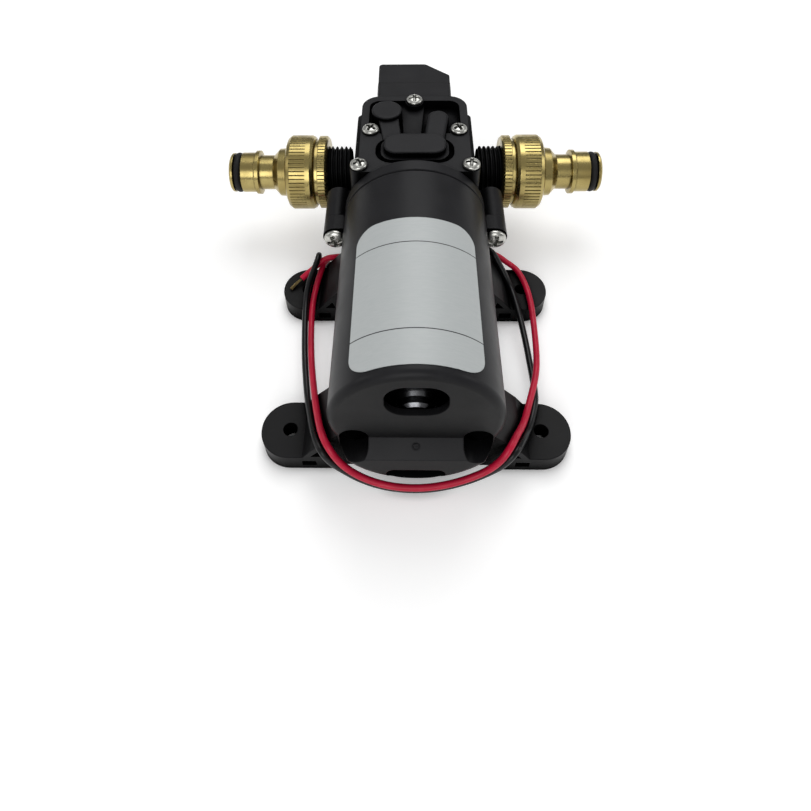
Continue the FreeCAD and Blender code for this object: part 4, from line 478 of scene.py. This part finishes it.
for slot, (name, light, dark, smooth, rough, grain_size, stretch) in METALS.items():
    metal, tree, shader = finish_for(name, Metallic=1.0)
    mottle = noise_of(tree, grain_size, detail=3.0, stretch=stretch)
    unshaded_metal = blend_colours(tree, between(tree, mottle, 0, 1), light, dark)
    # Painted shade in narrow places; on the end cap it reaches further, so the cap shows black through the
    # sleeve's windows.
    metal_shade_mask = openness(tree, SHADE_REACH_DEEP if slot == "blackened_steel" else SHADE_REACH_NARROW, 0.05)
    tree.links.new(mix(tree, metal_shade_mask, colour("#0E0D0C"), unshaded_metal), shader.inputs["Base Color"])
    tree.links.new(between(tree, mottle, smooth, rough), shader.inputs["Roughness"])
    bump(tree, shader, mottle, strength=0.15, depth=0.02)
    finishes[slot] = metal
print(f"{len(METALS)} metals")

# %% [markdown]
# ## Rubber, ferrite, carbon and wire insulation
# Rubber is nearly black and very dull. Ferrite and carbon are pressed powders. The leads' PVC is smooth
# with a soft gloss, and its colour changes a little along the wire, because extruded PVC is never even.
# Each row gives a name, two tones, least and greatest roughness, and the size of the cloudy patches.

# %% Dull blacks and insulation
SKIN_GRAIN = 0.4
DULL = {
    "rubber_parts": ("moulded rubber", "#0C0C0C", "#111111", 0.55, 0.72, 0.6),
    "ferrite": ("ground ferrite", "#3A3A3C", "#333335", 0.45, 0.60, 0.8),
    "carbon": ("pressed carbon", "#2A2A2B", "#222223", 0.50, 0.65, 0.5),
    "red_insulation": ("red PVC", "#C4163A", "#B41133", 0.34, 0.44, 5.0),
    "black_insulation": ("black PVC", "#0E0E10", "#0A0A0C", 0.26, 0.38, 5.0),
}
for slot, (name, first, second, smooth, rough, patch_size) in DULL.items():
    dull, tree, shader = finish_for(name, IOR=1.5, Specular_IOR_Level=0.3)
    patches = noise_of(tree, patch_size, detail=2.0)
    tone = blend_colours(tree, between(tree, patches, 0, 1), first, second)
    tree.links.new(tone, shader.inputs["Base Color"])
    tree.links.new(between(tree, patches, smooth, rough), shader.inputs["Roughness"])
    bump(tree, shader, noise_of(tree, SKIN_GRAIN, detail=1.0), strength=0.12, depth=0.03)
    finishes[slot] = dull
print(f"{len(DULL)} dull finishes")

# %% [markdown]
# ## Finishes on the CAD parts
# A CAD part's mesh stays as it is. Only the material in its slots changes, to the finish of the slot that
# the record names for it. The motor's end cap and the two brackets have finishes of their own.

# %% Dress the CAD parts
OWN_FINISH = {"motor_end_cap": "blackened_steel",
              "rear_foot": "bracket_plastic", "front_foot": "bracket_plastic"}
for name, part in frame["nodes"].items():
    finish = finishes[OWN_FINISH.get(name, slot_of[name])]
    if not part.material_slots:
        part.data.materials.append(finish)
    for holder in part.material_slots:
        holder.material = finish
for piece, slot in ((red_lead, "red_insulation"), (black_lead, "black_insulation"),
                    (red_ends, "copper_strands"), (black_ends, "copper_strands")):
    piece.data.materials.append(finishes[slot])
print(f"{len(finishes)} finishes on {len(frame['nodes'])} parts")

# %% [markdown]
# ## Screws with a cross recess
# A pan head is a flattened dome. In the head's own plane it is a surface of revolution, and the driver's
# cross is pressed into it, so one height formula over a polar grid gives the whole head. A boolean cut
# would leave sharp, badly lit edges, and a formula can round them. The grid then goes on over the head's
# edge and down the shank, which makes each screw one skin, open only at a pinhole under 0.05 mm wide at
# each end of its axis. The recess's reach and width are shares of the head's radius, its depth is a share
# of the head's height, and its walls' slope is in millimetres.

# %% Screw formula
HEAD_ROWS, HEAD_COLUMNS = 30, 96
ROW_CROWDING = 0.8
EDGE_SHARE = 0.35
RECESS_REACH, RECESS_WIDTH, RECESS_DEPTH = 0.66, 0.34, 0.95
RECESS_TAPER = 0.75
RECESS_SLOPE = 0.18
TIP_SHARE = 0.6
PINHOLE = 0.001
FIRST_TURN, TURN_STEP = 0.35, 1.1


def cross_recess(u, v, reach, width):
    """How far a point lies in a cross with arms of that reach and width, from 0 outside to 1 inside."""
    arms = []
    for along, across in ((u, v), (v, u)):
        inside = np.clip((reach - np.abs(along)) / RECESS_SLOPE + 0.5, 0, 1)
        arms.append(inside * np.clip((width / 2 - np.abs(across)) / RECESS_SLOPE + 0.5, 0, 1))
    return np.maximum(*arms)


def pan_screw(head_radius, head_height, shank_radius, length, turn):
    """One screw along +Z with its seat at z = 0: dome z = edge + (height - edge) * sqrt(1 - (r / R)^2)."""
    edge = EDGE_SHARE * head_height
    angle = np.linspace(0, 2 * np.pi, HEAD_COLUMNS, endpoint=False) + turn
    radius = np.linspace(PINHOLE, 1, HEAD_ROWS) ** ROW_CROWDING * head_radius
    dome = edge + (head_height - edge) * np.sqrt(1 - (radius / head_radius) ** 2)
    u = radius[:, None] * np.cos(angle - turn)
    v = radius[:, None] * np.sin(angle - turn)
    depth = RECESS_DEPTH * head_height * (1 - RECESS_TAPER * radius / head_radius)[:, None]
    recess = cross_recess(u, v, RECESS_REACH * head_radius, RECESS_WIDTH * head_radius)
    height = dome[:, None] - depth * recess
    tail_radius = np.array([head_radius, shank_radius, shank_radius, TIP_SHARE * shank_radius, PINHOLE])
    tail_height = np.array([0, 0, shank_radius - length, -length, -length])
    rows = np.concatenate([radius, tail_radius])[:, None]
    tail = np.broadcast_to(tail_height[:, None], (len(tail_height), HEAD_COLUMNS))
    heights = np.concatenate([height, tail])
    return np.stack([rows * np.cos(angle), rows * np.sin(angle), heights], axis=-1)


print(f"each head has {HEAD_ROWS} by {HEAD_COLUMNS} points")

# %% Screws


def screw_set(name, node, seats, facing, **sizes):
    """Screws at the given seats, all facing one way, in place of a CAD node. No two stop at one angle."""
    axes = np.array(Vector(facing).to_track_quat("Z", "X").to_matrix())
    points = []
    faces = []
    for k, seat in enumerate(seats):
        one = pan_screw(turn=FIRST_TURN + TURN_STEP * k, **sizes)
        points.append((one @ axes.T + np.array(seat)).reshape(-1, 3))
        rows = one.shape[0]
        faces.append(grid_faces(rows, HEAD_COLUMNS, round_columns=True) + k * rows * HEAD_COLUMNS)
    screws = surface(name, np.concatenate(points), np.concatenate(faces), "pump")
    screws.data.materials.append(finishes["zinc_screws"])
    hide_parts(node)


COVER_SEATS = [(-20.0, 47.0, 56.0), (20.0, 47.0, 56.0), (-16.5, 67.2, 56.0),
               (16.5, 67.2, 56.0), (0, 85.6, 56.0)]
screw_set("cover_pan_screws", "cover_screws", COVER_SEATS, (0, 0, 1),
          head_radius=3.1, head_height=2.1, shank_radius=1.4, length=19.0)
SLEEVE_SEATS = [(-28.8, 31.5, 35.5), (28.8, 31.5, 35.5)]
screw_set("sleeve_pan_screws", "sleeve_screws", SLEEVE_SEATS, (0, -1, 0),
          head_radius=4.0, head_height=2.8, shank_radius=1.9, length=18.0)
SWITCH_SEATS = [(-19.05, 105.7, 30.0), (19.05, 105.7, 30.0)]
screw_set("switch_pan_screws", "switch_screws", SWITCH_SEATS, (0, 1, 0),
          head_radius=2.9, head_height=2.0, shank_radius=1.5, length=25.2)
print(f"{len(COVER_SEATS) + len(SLEEVE_SEATS) + len(SWITCH_SEATS)} screws")

# %% [markdown]
# ## Port threads
# Each port has a three-quarter inch pipe thread with 14 turns to the inch. A thread is a height over the
# neck's skin: the height depends on the distance along the neck less a pitch for every turn round it, so
# the ridge climbs in a right-handed helix. It fades in over the first half turn, and its root lies just
# outside the plain neck, so the two skins don't coincide. Blender's Screw modifier would give a ridge of
# even height, but not the fade.

# %% Helical ridge
PITCH = 25.4 / 14
NECK_RADIUS = 9.35
ROOT_RADIUS = NECK_RADIUS + 0.03
CREST_RADIUS = 10.45
THREAD_FROM, THREAD_TO = 25.3, 34.45
THREAD_ROWS, THREAD_COLUMNS = 80, 120
FLANK_SLOPE, ROOT_FLAT = 1.7, 0.35
FADE_TURNS = 0.5
PORT_Y, PORT_Z = 73.5, 30.0


def port_thread(name, side):
    """Thread skin: r = root + (crest - root) * ridge(x / pitch - angle / 2 pi), flat at crest and root."""
    along = np.linspace(THREAD_FROM, THREAD_TO, THREAD_ROWS)[:, None]
    angle = np.linspace(0, 2 * np.pi, THREAD_COLUMNS, endpoint=False)[None, :]
    phase = (along - THREAD_FROM) / PITCH - side * angle / (2 * np.pi)
    ridge = np.clip(FLANK_SLOPE * (1 - np.abs(2 * (phase % 1) - 1)) - ROOT_FLAT, 0, 1)
    fade = np.clip((along - THREAD_FROM) / PITCH / FADE_TURNS, 0, 1)
    radius = ROOT_RADIUS + (CREST_RADIUS - ROOT_RADIUS) * ridge * fade
    points = np.stack([np.broadcast_to(side * along, radius.shape), PORT_Y + radius * np.cos(angle),
                       PORT_Z + radius * np.sin(angle)], axis=-1)
    faces = grid_faces(THREAD_ROWS, THREAD_COLUMNS, round_columns=True)
    if side > 0:
        faces = faces[:, ::-1]
    thread = surface(name, points, faces, "pump")
    thread.data.materials.append(finishes["black_plastic"])


port_thread("inlet_port_thread", -1)
port_thread("outlet_port_thread", 1)
print(f"{(THREAD_TO - THREAD_FROM) / PITCH:.1f} turns on each port")

# %% [markdown]
# ## Gate mark
# The plastic entered the sleeve's mould in the middle of the slanted panel and left a small round mark
# there: a low ring round a small pip. It is a curve of height over radius, turned round the panel's
# normal: ring and pip are bells, height * exp(-((r - place) / width) ^ 2), on a thin flat. The rim turns
# down into the panel. The panel runs from a crease under the round face to a knee above the slot.

# %% Gate mark
CREASE = np.array([0, -42.5, 27.0])
KNEE = np.array([0, -47.6, 22.5])
MARK_SHARE = 0.4
MARK_ROWS, MARK_COLUMNS = 24, 48
MARK_RADIUS, RIM_FROM, RIM_SINK = 1.3, 1.25, -0.05
RING_RADIUS, RING_HEIGHT, RING_WIDTH = 0.95, 0.16, 0.16
PIP_HEIGHT, PIP_WIDTH = 0.12, 0.3
FLAT_HEIGHT = 0.02
down_panel = (KNEE - CREASE) / np.linalg.norm(KNEE - CREASE)
panel_normal = np.cross(down_panel, (1.0, 0, 0))
mark_radius = np.linspace(0.01, MARK_RADIUS, MARK_ROWS)[:, None]
mark_angle = np.linspace(0, 2 * np.pi, MARK_COLUMNS, endpoint=False)[None, :]
ring = RING_HEIGHT * np.exp(-((mark_radius - RING_RADIUS) / RING_WIDTH) ** 2)
pip = PIP_HEIGHT * np.exp(-(mark_radius / PIP_WIDTH) ** 2)
mark_height = np.where(mark_radius > RIM_FROM, RIM_SINK, FLAT_HEIGHT + ring + pip)
mark_centre = CREASE + MARK_SHARE * (KNEE - CREASE)
mark_points = (mark_centre + (mark_radius * np.cos(mark_angle))[..., None] * np.array([1.0, 0, 0])
               + (mark_radius * np.sin(mark_angle))[..., None] * down_panel
               + np.broadcast_to(mark_height, (MARK_ROWS, MARK_COLUMNS))[..., None] * panel_normal)
mark_faces = grid_faces(MARK_ROWS, MARK_COLUMNS, round_columns=True)
gate_mark = surface("gate_mark", mark_points, mark_faces, "pump")
gate_mark.data.materials.append(finishes["black_plastic"])
print(f"normal of the slanted panel {[round(float(v), 2) for v in panel_normal]}")

# %% [markdown]
# ## Seal in the switch's joint
# The switch's housing and cap meet on a thin rubber seal, whose edge shows as a dark line all round. Its
# path is a rectangle with quarter circles at the corners, and its section is a flat ellipse. Swept as a
# grid, it closes both round its path and round its section.

# %% Switch seal
SEAL_Y, SEAL_Z = 108.4, 30.0
SEAL_HALF = np.array([15.15, 19.25])
SEAL_CORNER = 0.5
SEAL_WIDTH, SEAL_STANDOUT = 0.5, 0.15
CORNER_POINTS, SECTION_POINTS = 6, 10
quarter = np.linspace(0, np.pi / 2, CORNER_POINTS)[None, :]
around = (np.arange(4)[:, None] * np.pi / 2 + quarter).ravel()
outward = np.stack([np.cos(around), np.sin(around)], axis=-1)
corner_side = np.repeat([[1, 1], [-1, 1], [-1, -1], [1, -1]], CORNER_POINTS, axis=0)
seal_path = corner_side * (SEAL_HALF - SEAL_CORNER) + SEAL_CORNER * outward
section = np.linspace(0, 2 * np.pi, SECTION_POINTS, endpoint=False)
seal_out = SEAL_STANDOUT * np.cos(section)[None, :, None] * outward[:, None, :]
seal_plan = seal_path[:, None, :] + seal_out
seal_points = np.stack([seal_plan[..., 0],
                        np.broadcast_to(SEAL_Y + SEAL_WIDTH / 2 * np.sin(section), seal_plan.shape[:2]),
                        SEAL_Z + seal_plan[..., 1]], axis=-1)
seal_faces = grid_faces(len(seal_path), SECTION_POINTS, round_rows=True, round_columns=True)[:, ::-1]
switch_seal = surface("switch_joint_seal", seal_points, seal_faces, "pump")
switch_seal.data.materials.append(finishes["rubber_parts"])
print(f"seal {2 * SEAL_HALF[0]:.1f} by {2 * SEAL_HALF[1]:.1f} mm")

# %% [markdown]
# ## Table, light and hand-over
# The photograph is a cut-out on white. A white table with a soft contact shadow is the plainest real set
# for it. The lamps light it near the pump only, so its glow grows with the distance and it stays white up
# to the horizon. Its glow fades in narrow places under the pump, so the contact shadow is partly cast by
# the lamps and partly painted shadow. The light is two big soft boxes, behind the camera and overhead,
# with a smaller one on each side. The world is pale, brighter above, so that brass and zinc have
# something to mirror, and the camera sees it as white.

# %% Table
TABLE_HALF = 6.0
NEAR_GLOW, FAR_GLOW = 0.30, 1.0
GLOW_FROM, GLOW_TO = 0.35, 1.6
PAINTED_SHADOW_REACH = 3.0
table_mesh = bpy.data.meshes.new("table")
corners = [(x * TABLE_HALF, y * TABLE_HALF, 0) for x, y in ((-1, -1), (1, -1), (1, 1), (-1, 1))]
table_mesh.from_pydata(corners, [], [(0, 1, 2, 3)])
table = bpy.data.objects.new("table", table_mesh)
bpy.context.scene.collection.objects.link(table)
white, tree, shader = finish_for("white table", Base_Color=colour("#F4F4F4"), Roughness=0.9)
rays = add(tree, "ShaderNodeLightPath").outputs
seen = rays["Is Camera Ray"]
for kind in ("Is Glossy Ray", "Is Transmission Ray"):
    seen = calculate(tree, "MAXIMUM", seen, rays[kind])
away = add(tree, "ShaderNodeVectorMath", {"operation": "LENGTH"}, {
    0: add(tree, "ShaderNodeTexCoord").outputs["Object"]}).outputs["Value"]
glow = between(tree, away, NEAR_GLOW, FAR_GLOW, start=GLOW_FROM, end=GLOW_TO)
# Painted shadow: the glow fades in narrow places, under the pump and in the feet's holes.
for share in (seen, openness(tree, PAINTED_SHADOW_REACH, 0.0)):
    glow = calculate(tree, "MULTIPLY", glow, share)
tree.links.new(glow, shader.inputs["Emission Strength"])
shader.inputs["Emission Color"].default_value = (1, 1, 1, 1)
table_mesh.materials.append(white)
print(f"table {2 * TABLE_HALF:.0f} m across")

# %% Light
ROOM_BELOW, ROOM_ABOVE = 0.16, 0.42
SKY_FROM, SKY_TO = -0.1, 0.9


def soft_box(name, place, target, size, watts):
    """A square area lamp that faces a point. Sizes and places are in metres."""
    data = bpy.data.lights.new(name, "AREA")
    data.shape = "SQUARE"
    data.size = size
    data.energy = watts
    lamp = bpy.data.objects.new(name, data)
    bpy.context.scene.collection.objects.link(lamp)
    lamp.location = place
    lamp.rotation_euler = (Vector(target) - Vector(place)).to_track_quat("-Z", "Y").to_euler()


soft_box("behind the camera", (-0.10, -0.70, 0.46), (0, 0.02, 0.02), 0.50, 2.6)
soft_box("overhead", (0.05, 0.42, 0.70), (0, 0.02, 0), 0.50, 2.5)
soft_box("left", (-0.70, 0.05, 0.35), (0, 0, 0.03), 0.35, 0.6)
soft_box("right", (0.70, 0.10, 0.35), (0, 0, 0.03), 0.35, 0.8)
world = bpy.data.worlds.new("pale room")
bpy.context.scene.world = world
world.use_nodes = True
tree = world.node_tree
upward = add(tree, "ShaderNodeSeparateXYZ", inputs={
    "Vector": add(tree, "ShaderNodeTexCoord").outputs["Generated"]}).outputs["Z"]
room = between(tree, upward, ROOM_BELOW, ROOM_ABOVE, start=SKY_FROM, end=SKY_TO)
seen = add(tree, "ShaderNodeLightPath").outputs["Is Camera Ray"]
tree.links.new(calculate(tree, "MAXIMUM", room, seen), tree.nodes["Background"].inputs["Strength"])
tree.nodes["Background"].inputs["Color"].default_value = (1, 1, 1, 1)
bpy.context.scene.view_settings.view_transform = "Standard"
print(f"the room shines at {ROOM_BELOW} from below and {ROOM_ABOVE} from above")
